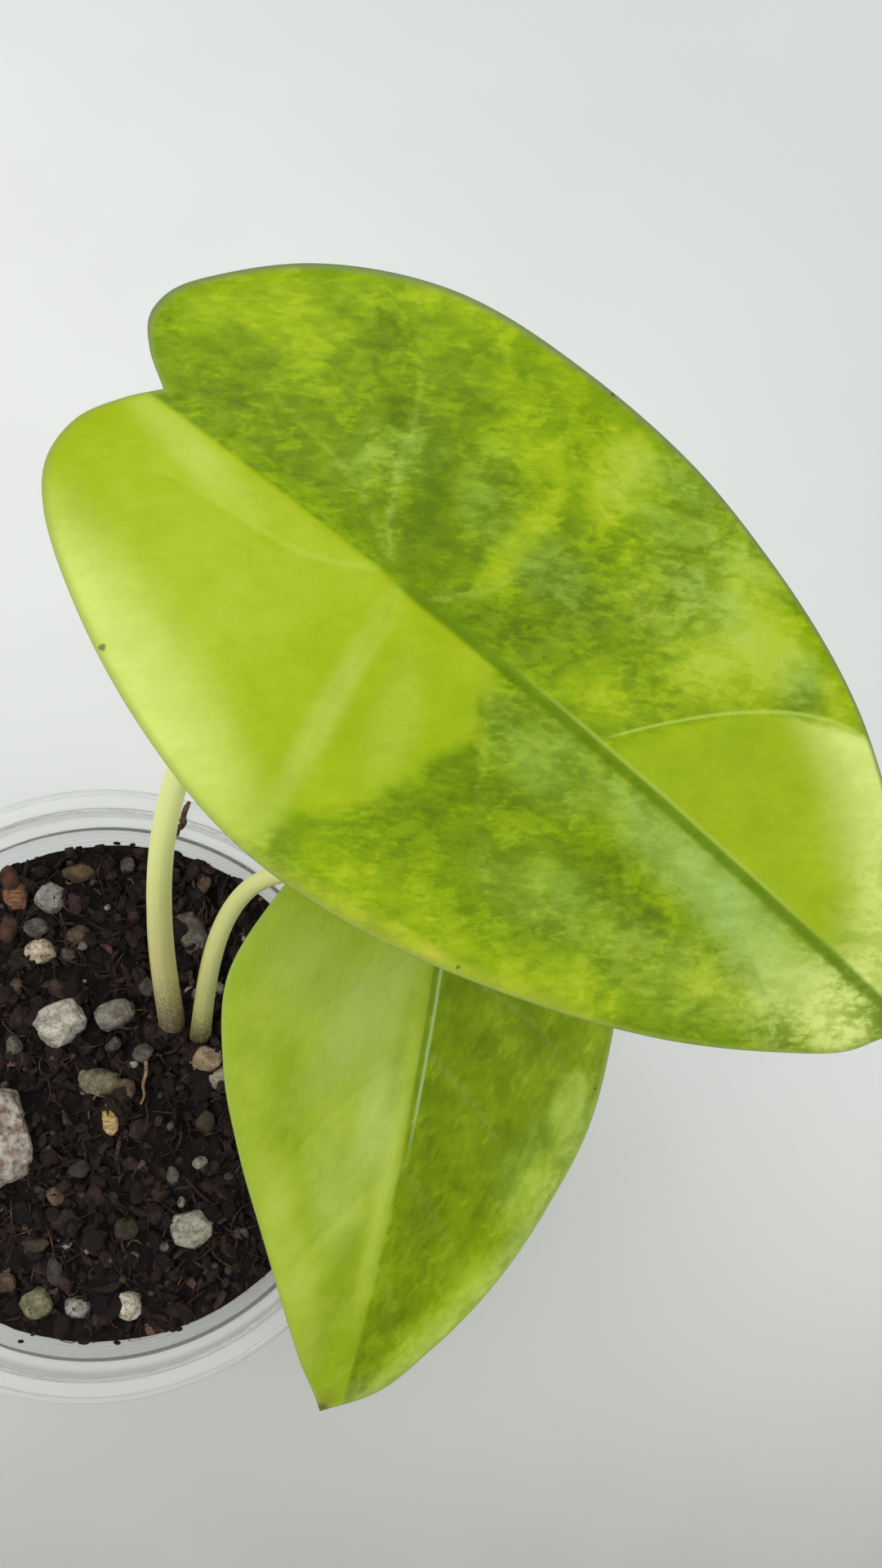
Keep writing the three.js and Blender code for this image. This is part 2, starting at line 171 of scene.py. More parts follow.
def smooth(low, high, value):
    """0 below low, 1 above high, eased between. With low above high it falls instead."""
    share = np.clip((value - low) / (high - low), 0, 1)
    return share * share * (3 - 2 * share)


# Lines and rings of points

def circle(sides):
    """Angles in even steps round a circle."""
    return 2 * math.pi * np.arange(sides) / sides


def ring(radius, angle, z):
    """Points round the axis. Radius and height may differ from point to point."""
    return np.c_[radius * np.cos(angle), radius * np.sin(angle), z + 0 * angle]


def at_angle(radius, angle):
    """The x and y of one place round the axis."""
    return radius * math.cos(angle), radius * math.sin(angle)


def disc_place(random, reach):
    """A random place within reach of the axis, as likely anywhere on the disc."""
    radius = reach * math.sqrt(random.random())
    return at_angle(radius, 2 * math.pi * random.random())


def ring_faces(rings, sides, start=0):
    """Quads between rings of points that follow one another."""
    row = np.arange(rings - 1)[:, None] * sides + start
    side = np.arange(sides)[None, :]
    after = (side + 1) % sides
    quads = np.stack([row + side, row + after, row + after + sides, row + side + sides], -1)
    return quads.reshape(-1, 4)


def closed_faces(rings, sides, step=1):
    """Quads between rings, and fans to the two end points that follow them. A step of -1 turns all over."""
    faces = ring_faces(rings, sides)[:, ::step].tolist()
    foot, last = rings * sides, (rings - 1) * sides
    for i in range(sides):
        after = (i + 1) % sides
        faces.append([foot, *(after, i)[::step]])
        faces.append([foot + 1, *(last + i, last + after)[::step]])
    return faces


def triangles(faces):
    """Faces cut into triangles by a fan, so that all have three corners."""
    return [(f[0], f[i], f[i + 1]) for f in faces for i in range(1, len(f) - 1)]


def at_shares(dense, shares):
    """Points at shares of the length along a line of close points."""
    length = np.r_[0, np.cumsum(np.linalg.norm(np.diff(dense, axis=0), axis=1))]
    wanted = np.asarray(shares) * length[-1]
    return np.stack([np.interp(wanted, length, axis) for axis in dense.T], -1)


def rounded_line(points, shares):
    """Points at shares of the length along a centripetal Catmull-Rom curve."""
    points = np.asarray(points, dtype=float)
    points = np.vstack([2 * points[0] - points[1], points, 2 * points[-1] - points[-2]])
    dense = []
    for i in range(1, len(points) - 2):
        p0, p1, p2, p3 = points[i - 1 : i + 3]
        d0, d1, d2 = (math.sqrt(np.linalg.norm(b - a)) for a, b in ((p0, p1), (p1, p2), (p2, p3)))
        m1 = ((p1 - p0) / d0 - (p2 - p0) / (d0 + d1) + (p2 - p1) / d1) * d1
        m2 = ((p2 - p1) / d1 - (p3 - p1) / (d1 + d2) + (p3 - p2) / d2) * d1
        t = np.linspace(0, 1, 120, endpoint=i == len(points) - 3)[:, None]
        dense.append(p1 + m1 * t + (3 * (p2 - p1) - 2 * m1 - m2) * t**2 + (2 * (p1 - p2) + m1 + m2) * t**3)
    return at_shares(np.concatenate(dense), shares)


def bezier(points, shares):
    """Points at shares of the length along a cubic curve."""
    t = np.linspace(0, 1, 800)[:, None]
    a, b, c, d = (np.asarray(p, dtype=float) for p in points)
    return at_shares((1 - t) ** 3 * a + 3 * (1 - t) ** 2 * t * b + 3 * (1 - t) * t**2 * c + t**3 * d, shares)


def headings(path):
    """Unit direction of a line at each of its points."""
    heading = np.gradient(path, axis=0)
    return heading / np.linalg.norm(heading, axis=1)[:, None]


def tube(path, radii, sides):
    """A closed tube along points, with a radius at each."""
    path = np.asarray(path, dtype=float)
    heading = headings(path)
    guide = np.array([0.0, 0.0, 1.0]) if abs(heading[0][2]) < 0.9 else np.array([1.0, 0.0, 0.0])
    angle = circle(sides)
    points = []
    for place, along, radius in zip(path, heading, radii):
        side = np.cross(guide, along)
        side /= np.linalg.norm(side)
        guide = np.cross(along, side)
        points.append(place + radius * (np.cos(angle)[:, None] * side + np.sin(angle)[:, None] * guide))
    faces = ring_faces(len(path), sides).tolist()
    faces.append(list(range(sides))[::-1])
    faces.append([(len(path) - 1) * sides + i for i in range(sides)])
    return np.concatenate(points), faces


# Building meshes

def new_object(name, data):
    """A new object in the scene."""
    made = bpy.data.objects.new(name, data)
    scene.collection.objects.link(made)
    return made


def make_piece(name, points, faces, material, nodes=(), marks=None, rounded=True):
    """A piece from points in millimetres. marks holds named values, one for each point."""
    mesh = bpy.data.meshes.new(name)
    places = (np.asarray(points, dtype=float) * MM).tolist()
    mesh.from_pydata(places, [], [list(map(int, face)) for face in faces])
    for mark, values in (marks or {}).items():
        values = np.asarray(values, dtype=np.float32)
        kind, field = ("FLOAT", "value") if values.ndim == 1 else ("FLOAT_VECTOR", "vector")
        mesh.attributes.new(mark, kind, "POINT").data.foreach_set(field, values.ravel())
    mesh.polygons.foreach_set("use_smooth", [rounded] * len(mesh.polygons))
    mesh.update()
    return dress(new_object(name, mesh), material, nodes)


def dress(piece, material, nodes=()):
    """Gives a piece its material, its body and the nodes that it stands for."""
    piece.data.materials.clear()
    piece.data.materials.append(material)
    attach(piece, "root")
    if nodes:
        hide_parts(*nodes)
    return piece


def apply_modifiers(piece):
    """Turns the piece's modifiers into its own mesh."""
    bpy.context.view_layer.update()
    made = bpy.data.meshes.new_from_object(piece.evaluated_get(bpy.context.evaluated_depsgraph_get()))
    piece.modifiers.clear()
    piece.data = made
    return made


def wall_inner(z):
    """Inner radius of the cup's wall at a height."""
    return BASE_INNER + (SEAT_INNER - BASE_INNER) * (z - WALL) / (SEAT_Z - WALL)


def hold_inside(points):
    """Points moved in where they would pass the cup's wall or floor."""
    reach = np.hypot(points[:, 0], points[:, 1])
    most = wall_inner(np.clip(points[:, 2], WALL, SEAT_Z)) - WALL_CLEAR
    points[:, :2] *= np.minimum(1, most / np.maximum(reach, 1e-6))[:, None]
    points[:, 2] = np.maximum(points[:, 2], SOIL_FLOOR)
    return points


class Heap:
    """Many small shapes gathered into one mesh, each with a tone."""

    def __init__(self):
        self.points, self.faces, self.tones, self.count = [], [], [], 0

    def add(self, points, faces, place, tone, held=True):
        """Takes in a shape at a place. If it is held, it is kept inside the cup."""
        points = points + np.asarray(place)
        self.points.append(hold_inside(points) if held else points)
        self.faces.extend((np.asarray(faces) + self.count).tolist())
        self.tones.append(np.full(len(points), tone))
        self.count += len(points)

    def piece(self, name, material, slot, rounded=True):
        """The piece that holds all the shapes."""
        marks = {"tone": np.concatenate(self.tones)}
        make_piece(name, np.concatenate(self.points), self.faces, material, (), marks, rounded)


def ball(detail):
    """Points and triangles of a unit ball made from an icosahedron."""
    shape = bmesh.new()
    bmesh.ops.create_icosphere(shape, subdivisions=detail, radius=1)
    points = np.array([v.co[:] for v in shape.verts])
    faces = np.array([[v.index for v in f.verts] for f in shape.faces])
    shape.free()
    return points, faces


BALLS = {detail: ball(detail) for detail in (1, 2, 3)}


def turn_matrix(random):
    """A random rotation."""
    matrix, _ = np.linalg.qr(random.normal(size=(3, 3)))
    return matrix * np.sign(np.linalg.det(matrix))


def grain(random, size, detail=1, blocky=0.75, rough=0.22, spread=(0.65, 1.15)):
    """An irregular grain: a ball made blocky, dented by noise, stretched each way and turned."""
    points, faces = BALLS[detail]
    shape = np.sign(points) * np.abs(points) ** blocky
    shape = shape * (1 + rough * layered_noise(points * 1.5 + random.uniform(0, 50, 3), 1, 3))[:, None]
    shape = shape * random.uniform(*spread, 3) @ turn_matrix(random).T
    return shape * size, faces


def draw_tone(random, middle, spread, low, high):
    """A random tone round the middle, held between low and high."""
    return np.clip(random.normal(middle, spread), low, high)


# Building materials

class Value:
    """What a shader socket gives. Arithmetic with it adds math nodes to its material."""

    def __init__(self, paint, socket):
        self.paint, self.socket = paint, socket

    def math(self, operation, *values):
        """One math step on values or numbers."""
        return self.paint.add("Math", 0, dict(enumerate(values)), operation=operation)

    def __add__(self, other):
        return self.math("ADD", self, other)

    def __sub__(self, other):
        return self.math("SUBTRACT", self, other)

    def __rsub__(self, other):
        return self.math("SUBTRACT", other, self)

    def __mul__(self, other):
        return self.math("MULTIPLY", self, other)

    def __rmul__(self, other):
        return self.math("MULTIPLY", other, self)

    def __pow__(self, other):
        return self.math("POWER", self, other)

    def __abs__(self):
        return self.math("ABSOLUTE", self)

    def eased(self, low, high, start=0.0, end=1.0):
        """This value from low to high, eased to the range from start to end."""
        inputs = {"Value": self, "From Min": low, "From Max": high, "To Min": start, "To Max": end}
        return self.paint.add("MapRange", "Result", inputs, interpolation_type="SMOOTHSTEP")

    def blend(self, first, second):
        """Colour or code first, turning to second as this value goes from 0 to 1."""
        return self.paint.add("Mix", 2, {"Factor": self, 6: first, 7: second}, data_type="RGBA")

    def ramp(self, stops):
        """The colour for this value, between stops of a value and a code."""
        made = self.paint.add("ValToRGB", "Color", {"Fac": self})
        elements = made.socket.node.color_ramp.elements
        for _ in stops[2:]:
            elements.new(0.5)
        for element, (at, code) in zip(elements, stops):
            element.position = at
            element.color = hex_colour(code)
        return made


class Paint:
    """A material with its node tree and its Principled shader, where plain values are set."""

    def __init__(self, name, roughness, **plain):
        self.material = bpy.data.materials.new(name)
        self.material.use_nodes = True
        self.tree = self.material.node_tree
        self.shader = self.tree.nodes["Principled BSDF"]
        for key, value in {"Roughness": roughness, **plain}.items():
            self.shader.inputs[key.replace("_", " ")].default_value = value

    def add(self, kind, output, inputs=None, **settings):
        """An output of a new node. Inputs that are values are linked and the others are set."""
        node = self.tree.nodes.new("ShaderNode" + kind)
        for key, value in settings.items():
            setattr(node, key, value)
        for key, value in (inputs or {}).items():
            if isinstance(value, Value):
                self.tree.links.new(value.socket, node.inputs[key])
            else:
                node.inputs[key].default_value = hex_colour(value) if isinstance(value, str) else value
        return Value(self, node.outputs[output])

    def connect(self, key, value):
        """Leads a value to an input of the Principled shader."""
        self.tree.links.new(value.socket, self.shader.inputs[key])

    def noise(self, place, scale, detail=3, roughness=0.55, distortion=0.0):
        """Cloudy noise from 0 to 1."""
        inputs = {"Vector": place, "Scale": scale, "Detail": detail, "Roughness": roughness}
        return self.add("TexNoise", "Fac", {**inputs, "Distortion": distortion})

    def mark(self, name, output="Fac"):
        """What the mesh holds under that name."""
        return self.add("Attribute", output, attribute_name=name)

    def place_mm(self):
        """The point on the piece, in millimetres."""
        return self.add("VectorMath", 0, {0: self.add("TexCoord", "Object"), 3: 1 / MM}, operation="SCALE")

    def stretched(self, place, scale):
        """A place with each axis scaled."""
        return self.add("Mapping", 0, {"Vector": place, "Scale": scale})

    def apart(self, place):
        """The x, y and z of a place."""
        node = self.add("SeparateXYZ", 0, {0: place}).socket.node
        return [Value(self, output) for output in node.outputs]

    def dent(self, height, distance_mm, strength):
        """Surface relief of that depth, from a height of 0 to 1."""
        inputs = {"Height": height, "Distance": distance_mm * MM, "Strength": strength}
        self.connect("Normal", self.add("Bump", 0, inputs))


# Cup

def rounded(corners, radius, steps):
    """The outline with each inner corner cut to a short curve."""
    made = [corners[0]]
    for before, corner, after in zip(corners, corners[1:], corners[2:]):
        before, corner, after = map(np.array, (before, corner, after))
        ends = []
        for side in (before, after):
            far = np.linalg.norm(side - corner)
            ends.append(corner + (side - corner) / far * min(radius, 0.4 * far))
        for t in np.linspace(0, 1, steps + 1):
            made.append(((1 - t) ** 2) * ends[0] + 2 * t * (1 - t) * corner + t * t * ends[1])
    return np.array(made + [corners[-1]], dtype=float)


def plastic_material():
    """Clear plastic with scuffs, scratches and faint rings, a little cloudier at the rim."""
    plain = {"IOR": 1.17, "Specular_IOR_Level": 0.9, "Base_Color": (0.94, 0.945, 0.94, 1)}
    paint = Paint("clear_plastic", 0.16, **plain)
    place = paint.place_mm()
    height = paint.apart(place)[2]
    scuffs = paint.noise(place, 0.35, 4)
    scratches = paint.noise(paint.stretched(place, (2.2, 2.2, 0.12)), 1.4, 2)
    paint.connect("Roughness", (scuffs + scratches * 0.4).eased(0.5, 0.95, 0.03, 0.1))
    paint.connect("Transmission Weight", height.eased(75.0, 80.0, 0.965, 0.88))
    wave = {"Vector": place, "Scale": 0.16, "Distortion": 0.4}
    rings = paint.add("TexWave", "Fac", wave, bands_direction="Z")
    paint.dent(rings * height.eased(74.0, 78.0, 1.0, 0.2), 0.05, 0.5)
    return paint.material


def build_cup():
    """The cup, an outline turned about +Z, with drain holes cut through its base."""
    outer_top = wall_inner(SEAT_Z - WALL) + WALL
    corners = [
        (0, 0), (BASE_INNER + WALL - HEEL, 0), (BASE_INNER + WALL, HEEL), (outer_top, SEAT_Z - WALL),
        (SEAT_OUTER + WALL, SEAT_Z - WALL + SEAT_SLOPE), (RIM_INNER + WALL / 2, CUP_HEIGHT - WALL),
        (RIM_RADIUS - WALL, CUP_HEIGHT - WALL), (RIM_RADIUS - WALL, CUP_HEIGHT - RIM_SKIRT),
        (RIM_RADIUS, CUP_HEIGHT - RIM_SKIRT), (RIM_RADIUS, CUP_HEIGHT - EDGE),
        (RIM_RADIUS - EDGE, CUP_HEIGHT), (RIM_INNER, CUP_HEIGHT),
        (RIM_INNER - EDGE / 2, CUP_HEIGHT - EDGE), (SEAT_OUTER, SEAT_Z + SEAT_SLOPE),
        (SEAT_INNER, SEAT_Z), (wall_inner(WALL + HEEL), WALL + HEEL),
        (BASE_INNER - HEEL / 2, WALL), (0, WALL),
    ]
    profile = rounded(corners, 0.5, 4)
    rings = [ring(radius, circle(CUP_SIDES), z) for radius, z in profile[1:-1]]
    points = np.concatenate([*rings, [[0, 0, profile[0][1]]], [[0, 0, profile[-1][1]]]])
    faces = closed_faces(len(rings), CUP_SIDES)
    cup = make_piece("clear_cup", points, faces, plastic_material(), ["cup"])
    drills = []
    for i in range(DRAIN_COUNT):
        depth = 4 * WALL * MM
        bpy.ops.mesh.primitive_cylinder_add(vertices=DRAIN_SIDES, radius=DRAIN_RADIUS * MM, depth=depth)
        drill = bpy.context.object
        x, y = at_angle(DRAIN_CIRCLE, 2 * math.pi * i / DRAIN_COUNT)
        drill.location = (x * MM, y * MM, WALL / 2 * MM)
        cut = cup.modifiers.new(f"drain_{i}", "BOOLEAN")
        cut.object = drill
        cut.operation = "DIFFERENCE"
        drills.append(drill)
    apply_modifiers(cup)
    for drill in drills:
        bpy.data.objects.remove(drill)
    cup.data.shade_smooth()
    cup.data.set_sharp_from_angle(angle=math.radians(40))


# Potting mix

def soil_height(x, y):
    """Height of the mix's rolling surface at a place."""
    rolling = np.sin(0.23 * x + 1.3) * np.cos(0.21 * y + 0.4)
    lumpy = np.sin(0.62 * x - 0.41 * y) + np.cos(0.37 * x + 0.83 * y + 2)
    edge = smooth(1.0, 0.9, np.hypot(x, y) / (wall_inner(SOIL_TOP) - SOIL_GAP))
    return SOIL_TOP + edge * (0.8 * rolling + 0.5 * lumpy)


def mix_material():
    """Damp mix in dark browns, from the tone that the mesh holds and two sizes of noise."""
    paint = Paint("potting_mix", 0.92, Specular_IOR_Level=0.25)
    place = paint.place_mm()
    coarse = paint.noise(place, 0.7, 4, 0.6)
    fine = paint.noise(place, 3.2, 4, 0.7)
    shade = paint.mark("tone") + (coarse + fine).eased(0.75, 1.3, -0.16, 0.18)
    stops = (
        (0.0, "#100D0C"), (0.28, "#1B1513"), (0.5, "#281E1C"),
        (0.68, "#382A27"), (0.84, "#4A3630"), (1.0, "#745642"),
    )
    paint.connect("Base Color", shade.ramp(stops))
    paint.dent(fine, 0.25, 0.9)
    return paint.material


def build_soil(material):
    """The body of the mix: a rough top and the rough side that shows through the cup."""
    angle = circle(SOIL_SIDES)
    top = wall_inner(SOIL_TOP) - SOIL_GAP
    points = []
    for i in range(1, SOIL_RINGS + 1):
        line = ring(top * i / SOIL_RINGS, angle, 0)
        rough = 1.1 * layered_noise(line, 4.5, 4, 3) + 0.35 * layered_noise(line, 1.1, 2, 9)
        line[:, 2] = soil_height(line[:, 0], line[:, 1]) + rough - 0.35
        points.append(line)
    for i in range(1, SOIL_ROWS + 1):
        z = SOIL_TOP - 0.4 + (SOIL_FLOOR + 0.6 - SOIL_TOP) * (i / SOIL_ROWS)
        base = ring(1, angle, z / 40) * 40
        dip = 0.8 * smooth(-0.1, 0.75, layered_noise(base, 3.6, 3, 17))
        dip = dip + 0.25 * smooth(0, 1, layered_noise(base, 1.0, 2, 5))
        radius = wall_inner(z) - SOIL_GAP - dip - 1.2 * smooth(SOIL_FLOOR + 2, SOIL_FLOOR, z)
        points.append(ring(radius, angle, z))
    points = np.concatenate([*points, [[0, 0, soil_height(0, 0) - 0.3], [0, 0, SOIL_FLOOR]]])
    tone = 0.2 + 0.12 * layered_noise(points, 3, 3, 21)
    tone[SOIL_RINGS * SOIL_SIDES : -2] += 0.14
    faces = closed_faces(SOIL_RINGS + SOIL_ROWS, SOIL_SIDES, -1)
    make_piece("mix_body", points, faces, material, ["potting_mix"], {"tone": tone})


# Where crumbs lie close round the stalks: place and the stalk's reach
STALK_BEDS = [(10.3, 10.1, 2.5), (14.9, 8.1, 2.1)]
# Bits of mix stuck to the inside of the wall, above the surface
WALL_SPECKS = [
    (12.9, -38.0, 74.2), (-11.2, -39.0, 78.3), (0.3, 40.0, 75.0), (3, 39.6, 76.5), (3.2, -39.9, 74.5),
    (24, 32.6, 76), (-25, 31.5, 75.5), (36.5, -17.5, 75.8), (-38.6, -12, 76.4),
]
CRUMB_TONE = (0.42, 0.17, 0.1, 1)


def build_crumbs(material):
    """Loose crumbs and flakes over the top of the mix, and a few stuck to the wall above it."""
    random = np.random.default_rng(11)
    heap = Heap()
    reach = wall_inner(SOIL_TOP) - SOIL_GAP
    for _ in range(CRUMBS):
        size = 0.3 + 1.3 * random.random() ** 2.6
        x, y = disc_place(random, reach)
        detail = 2 if size > 0.8 else 1
        points, faces = grain(random, size, detail, random.uniform(0.5, 1.1), 0.6, (0.28, 1.3))
        heap.add(points, faces, [x, y, soil_height(x, y) + 0.3 * size], draw_tone(random, *CRUMB_TONE))
    for foot_x, foot_y, near in STALK_BEDS:
        for _ in range(BED_CRUMBS):
            size = 0.4 + 0.6 * random.random()
            angle = 2 * math.pi * random.random()
            radius = near + 0.5 * size + 1.5 * random.random() ** 2
            x, y = foot_x + radius * math.cos(angle), foot_y + radius * math.sin(angle)
            points, faces = grain(random, size, 2, random.uniform(0.5, 1.1), 0.6, (0.4, 1.2))
            z = soil_height(x, y) + 0.3 + 0.7 * random.random()
            heap.add(points, faces, [x, y, z], draw_tone(random, *CRUMB_TONE))
    for place in WALL_SPECKS:
        points, faces = grain(random, 0.6, 2, 0.7, 0.3)
        heap.add(points * [1, 0.6, 0.7], faces, place, 0.3, held=False)
    heap.piece("mix_crumbs", material, "mix", rounded=False)


def build_wall_crumbs(material):
    """Crumbs pressed against the cup's wall below the surface."""
    random = np.random.default_rng(29)
    heap = Heap()
    for _ in range(WALL_CRUMBS):
        size = 0.5 + 1.3 * random.random() ** 2
        z = SOIL_FLOOR + 1.5 + (SOIL_TOP - 3) * random.random()
        angle = 2 * math.pi * random.random()
        points, faces = grain(random, size, 1)
        place = [*at_angle(wall_inner(z) - 0.75 * size, angle), z]
        heap.add(points, faces, place, draw_tone(random, 0.7, 0.26, 0.15, 1.1))
    heap.piece("mix_wall_crumbs", material, "mix", rounded=False)


def shred(random, length, width, thickness):
    """Points and faces of a thin bent strip with torn ends."""
    t = np.linspace(0, 1, SHRED_STEPS)
    bend, twist = random.normal(0, 0.5), random.normal(0, 0.7)
    bow = 0.18 * length * bend * np.sin(math.pi * t)
    centre = np.c_[length * (t - 0.5), bow, 0.12 * length * np.sin(2.5 * t)]
    points = []
    for middle, share in zip(centre, t):
        full = 0.35 + 0.65 * math.sin(math.pi * min(max(share, 0.06), 0.94))
        half = 0.5 * width * full * random.uniform(0.7, 1.15)
        turn = twist * share
        across = np.array([0, math.cos(turn), math.sin(turn)])
        up = np.array([0, -math.sin(turn), math.cos(turn)]) * thickness / 2
        points += [middle + across * half, middle + up, middle - across * half, middle - up]
    faces = ring_faces(SHRED_STEPS, 4).tolist()
    faces += [[3, 2, 1, 0], [4 * SHRED_STEPS - 4 + k for k in range(4)]]
    return np.array(points) @ turn_matrix(random).T, triangles(faces)


def build_fibres(material):
    """Fine fibres and shreds over the top of the mix, and one shred that lies over the rim."""
    random = np.random.default_rng(47)
    heap = Heap()
    reach = wall_inner(SOIL_TOP) - 1.5
    for _ in range(FIBRES):
        length = 2 + 7 * random.random() ** 1.6
        x, y = disc_place(random, reach)
        heading, bend = 2 * math.pi * random.random(), random.normal(0, 0.25)
        path = []
        for step in np.linspace(0, 1, FIBRE_STEPS):
            arch = 0.9 * math.sin(math.pi * step) * random.uniform(0.4, 1)
            path.append([x, y, soil_height(x, y) + 0.45 + arch])
            heading += bend + random.normal(0, 0.12)
            x += length / FIBRE_STEPS * math.cos(heading)
            y += length / FIBRE_STEPS * math.sin(heading)
        thickness = 0.06 + 0.16 * random.random() ** 2
        radii = thickness * np.sin(math.pi * np.linspace(0.08, 0.92, FIBRE_STEPS)) ** 0.5
        points, faces = tube(path, radii, 5)
        heap.add(points, triangles(faces), (0, 0, 0), draw_tone(random, 0.6, 0.2, 0.2, 1))
    for _ in range(SHREDS):
        length, width = 1.6 + 3.6 * random.random() ** 1.7, 0.4 + 1.1 * random.random() ** 1.5
        x, y = disc_place(random, reach)
        points, faces = shred(random, length, width, 0.18 + 0.2 * random.random())
        place = [x, y, soil_height(x, y) + 0.75]
        heap.add(points * [1, 1, 0.45], faces, place, draw_tone(random, 0.5, 0.17, 0.15, 0.95))
    t = np.linspace(0, 1, 22)
    radius = np.interp(t, [0, 0.2, 0.6, 0.75, 1], [41.8, 43.0, 43.7, 44.4, 47.2])
    lift = np.interp(t, [0, 0.2, 0.6, 0.72, 1], [81.0, 81.3, 84.9, 85.3, 85.35])
    turn = np.radians(75.4 - 1.1 * t) + 0.006 * np.sin(9 * t)
    radii = 0.3 + 0.3 * np.sin(math.pi * t) ** 0.7 * (0.7 + 0.3 * t) + 0.04 * np.sin(23 * t)
    points, faces = tube(ring(radius, turn, lift), radii, 7)
    heap.add(points, triangles(faces), (0, 0, 0), 0.9, held=False)
    heap.piece("mix_fibres", material, "mix", rounded=False)


def build_root():
    """A feeding root that lies bare on the mix near the stalks."""
    t = np.linspace(0, 1, 26)
    line = rounded_line([(6.2, 4.2), (6.4, 2.4), (5.9, 0.2), (6.1, -1.4), (5.6, -2.8)], t)
    height = [soil_height(x, y) + 1.2 + 0.5 * math.sin(3 * share) for (x, y), share in zip(line, t)]
    points, faces = tube(np.c_[line, height], 0.34 - 0.12 * t, 10)
    material = bark_material("root_skin", "#A08868", "#6A5640")
    make_piece("surface_root", points, faces, material)


# Grit: small lumps of the mix, with their place, size and look
GRIT_PLACES = [
    (-12.3, 26.0, 4.4, 3.4, "grey"), (-5.8, 35.1, 5.6, 3.4, "tan"), (-5.6, 24.9, 4.1, 3.4, "tan"),
    (-7.2, 21.7, 2.8, 2.2, "grey"), (2.0, 36.6, 2.5, 2.8, "grey"), (14.9, 33.6, 2.5, 3.4, "tan"),
    (5.8, 16.3, 2.9, 3.4, "grey"), (13.6, 15.4, 3.0, 2.2, "white"), (17.9, 16.1, 1.9, 2.5, "white"),
    (17.0, 1.3, 3.4, 2.2, "grey"), (0.7, 6.8, 2.8, 2.8, "grey"), (5.6, 5.4, 3.6, 3.4, "grey"),
    (4.4, 3.4, 1.5, 1.5, "white"), (-15.1, 6.5, 2.9, 3.4, "grey"), (3.2, -0.3, 3.2, 3.2, "tan"),
    (15.5, -12.1, 2.6, 2.2, "white"), (-7.5, -17.3, 2.9, 3.3, "tan"), (-4.1, -13.1, 3.7, 3.3, "slate"),
    (-10.7, -24.8, 5.1, 2.9, "olive"), (3.9, -22.5, 4.0, 3.7, "olive"), (-14.8, -30.8, 3.3, 3.3, "tan"),
    (11.2, -14.2, 2.2, 2.9, "grey"), (10.1, -25.4, 1.8, 1.8, "white"), (18.0, -28.7, 1.8, 1.5, "grey"),
    (22.3, -23.5, 2.9, 1.8, "grey"), (16.2, -5.9, 3.3, 4.0, "olive"), (-7.0, -28.9, 2.6, 4.8, "slate"),
    (3.4, -34.6, 1.6, 3.0, "rust"), (-17.2, 34.1, 3.4, 4.4, "rust"), (-17.1, 25.7, 3.4, 5.1, "rust"),
    (-9.3, -10.6, 2.2, 2.8, "tan"), (-3.4, -17.2, 1.5, 1.4, "slate"), (1.4, -27.5, 1.7, 1.5, "grey"),
    (12.6, -18.4, 1.5, 1.9, "white"), (20.2, -14.3, 1.9, 1.6, "slate"), (26.3, -24.2, 1.5, 1.8, "grey"),
    (-18.7, 14.6, 3.1, 3.9, "rust"), (-15.3, 16.5, 2.0, 2.4, "tan"), (-25.4, 21.0, 4.2, 3.6, "grey"),
    (-29.0, 5.5, 3.9, 3.1, "white"), (-24.5, -21.5, 4.4, 3.7, "tan"), (-31.0, -12.5, 3.0, 2.4, "grey"),
    (-21.0, -29.0, 2.8, 2.6, "white"), (-34.0, 12.5, 2.4, 2.9, "tan"), (27.0, 24.0, 3.4, 2.7, "grey"),
    (31.5, 6.5, 3.7, 3.0, "white"), (29.5, -12.0, 3.0, 3.4, "tan"), (34.5, -8.0, 2.0, 2.2, "grey"),
    (24.0, 10.5, 2.6, 2.4, "tan"), (16.2, 4.5, 4.8, 4.2, "straw"), (21.5, 31.5, 2.4, 2.6, "white"),
    (-30.0, 22.5, 2.2, 2.6, "slate"),
]
# Each look: light and dark colour, and a slot name
GRIT_LOOKS = {
    "white": ("#A29D90", "#716B60", "perlite"), "grey": ("#69655C", "#413D37", "pumice"),
    "tan": ("#6E5B45", "#443629", "bark"), "slate": ("#484543", "#2B2827", "pumice"),
    "olive": ("#4D4733", "#302A1F", "bark"), "rust": ("#5C3D2E", "#342219", "bark"),
    "straw": ("#B6A184", "#87715A", "bark"),
}
TOP_LOOKS = ("white", "grey", "tan", "slate", "olive", "rust")
WALL_LOOKS = ("white", "grey", "white", "tan", "rust", "slate")


def stone_material(name, light, dark, pit_scale, speckle=0.5):
    """Foamed or pitted stone: pale mass, darker pits and specks, and dirt low down."""
    paint = Paint(name, 0.93, Specular_IOR_Level=0.3)
    place = paint.place_mm()
    cloud = paint.noise(place, 0.6, 4, 0.6)
    fine = paint.noise(place, 4.5, 3, 0.65)
    cells = {"Vector": place, "Scale": pit_scale, "Randomness": 1.0}
    hollow = paint.add("TexVoronoi", "Distance", cells).eased(0.05, 0.4, 1.0, 0.0)
    colour = cloud.eased(0.35, 0.68).blend(light, dark)
    colour = (hollow * 0.55).blend(colour, dark)
    colour = fine.eased(0.6, 0.72, 0.0, speckle).blend(colour, "#3A322C")
    dirt = paint.noise(place, 1.3, 5, 0.7, 0.4) + paint.apart(place)[2].eased(73.4, 76, 0.12, 0.0)
    paint.connect("Base Color", dirt.eased(0.52, 0.7, 0.0, 0.7).blend(colour, "#43352E"))
    paint.dent(fine - hollow, 0.22, 0.8)
    return paint.material


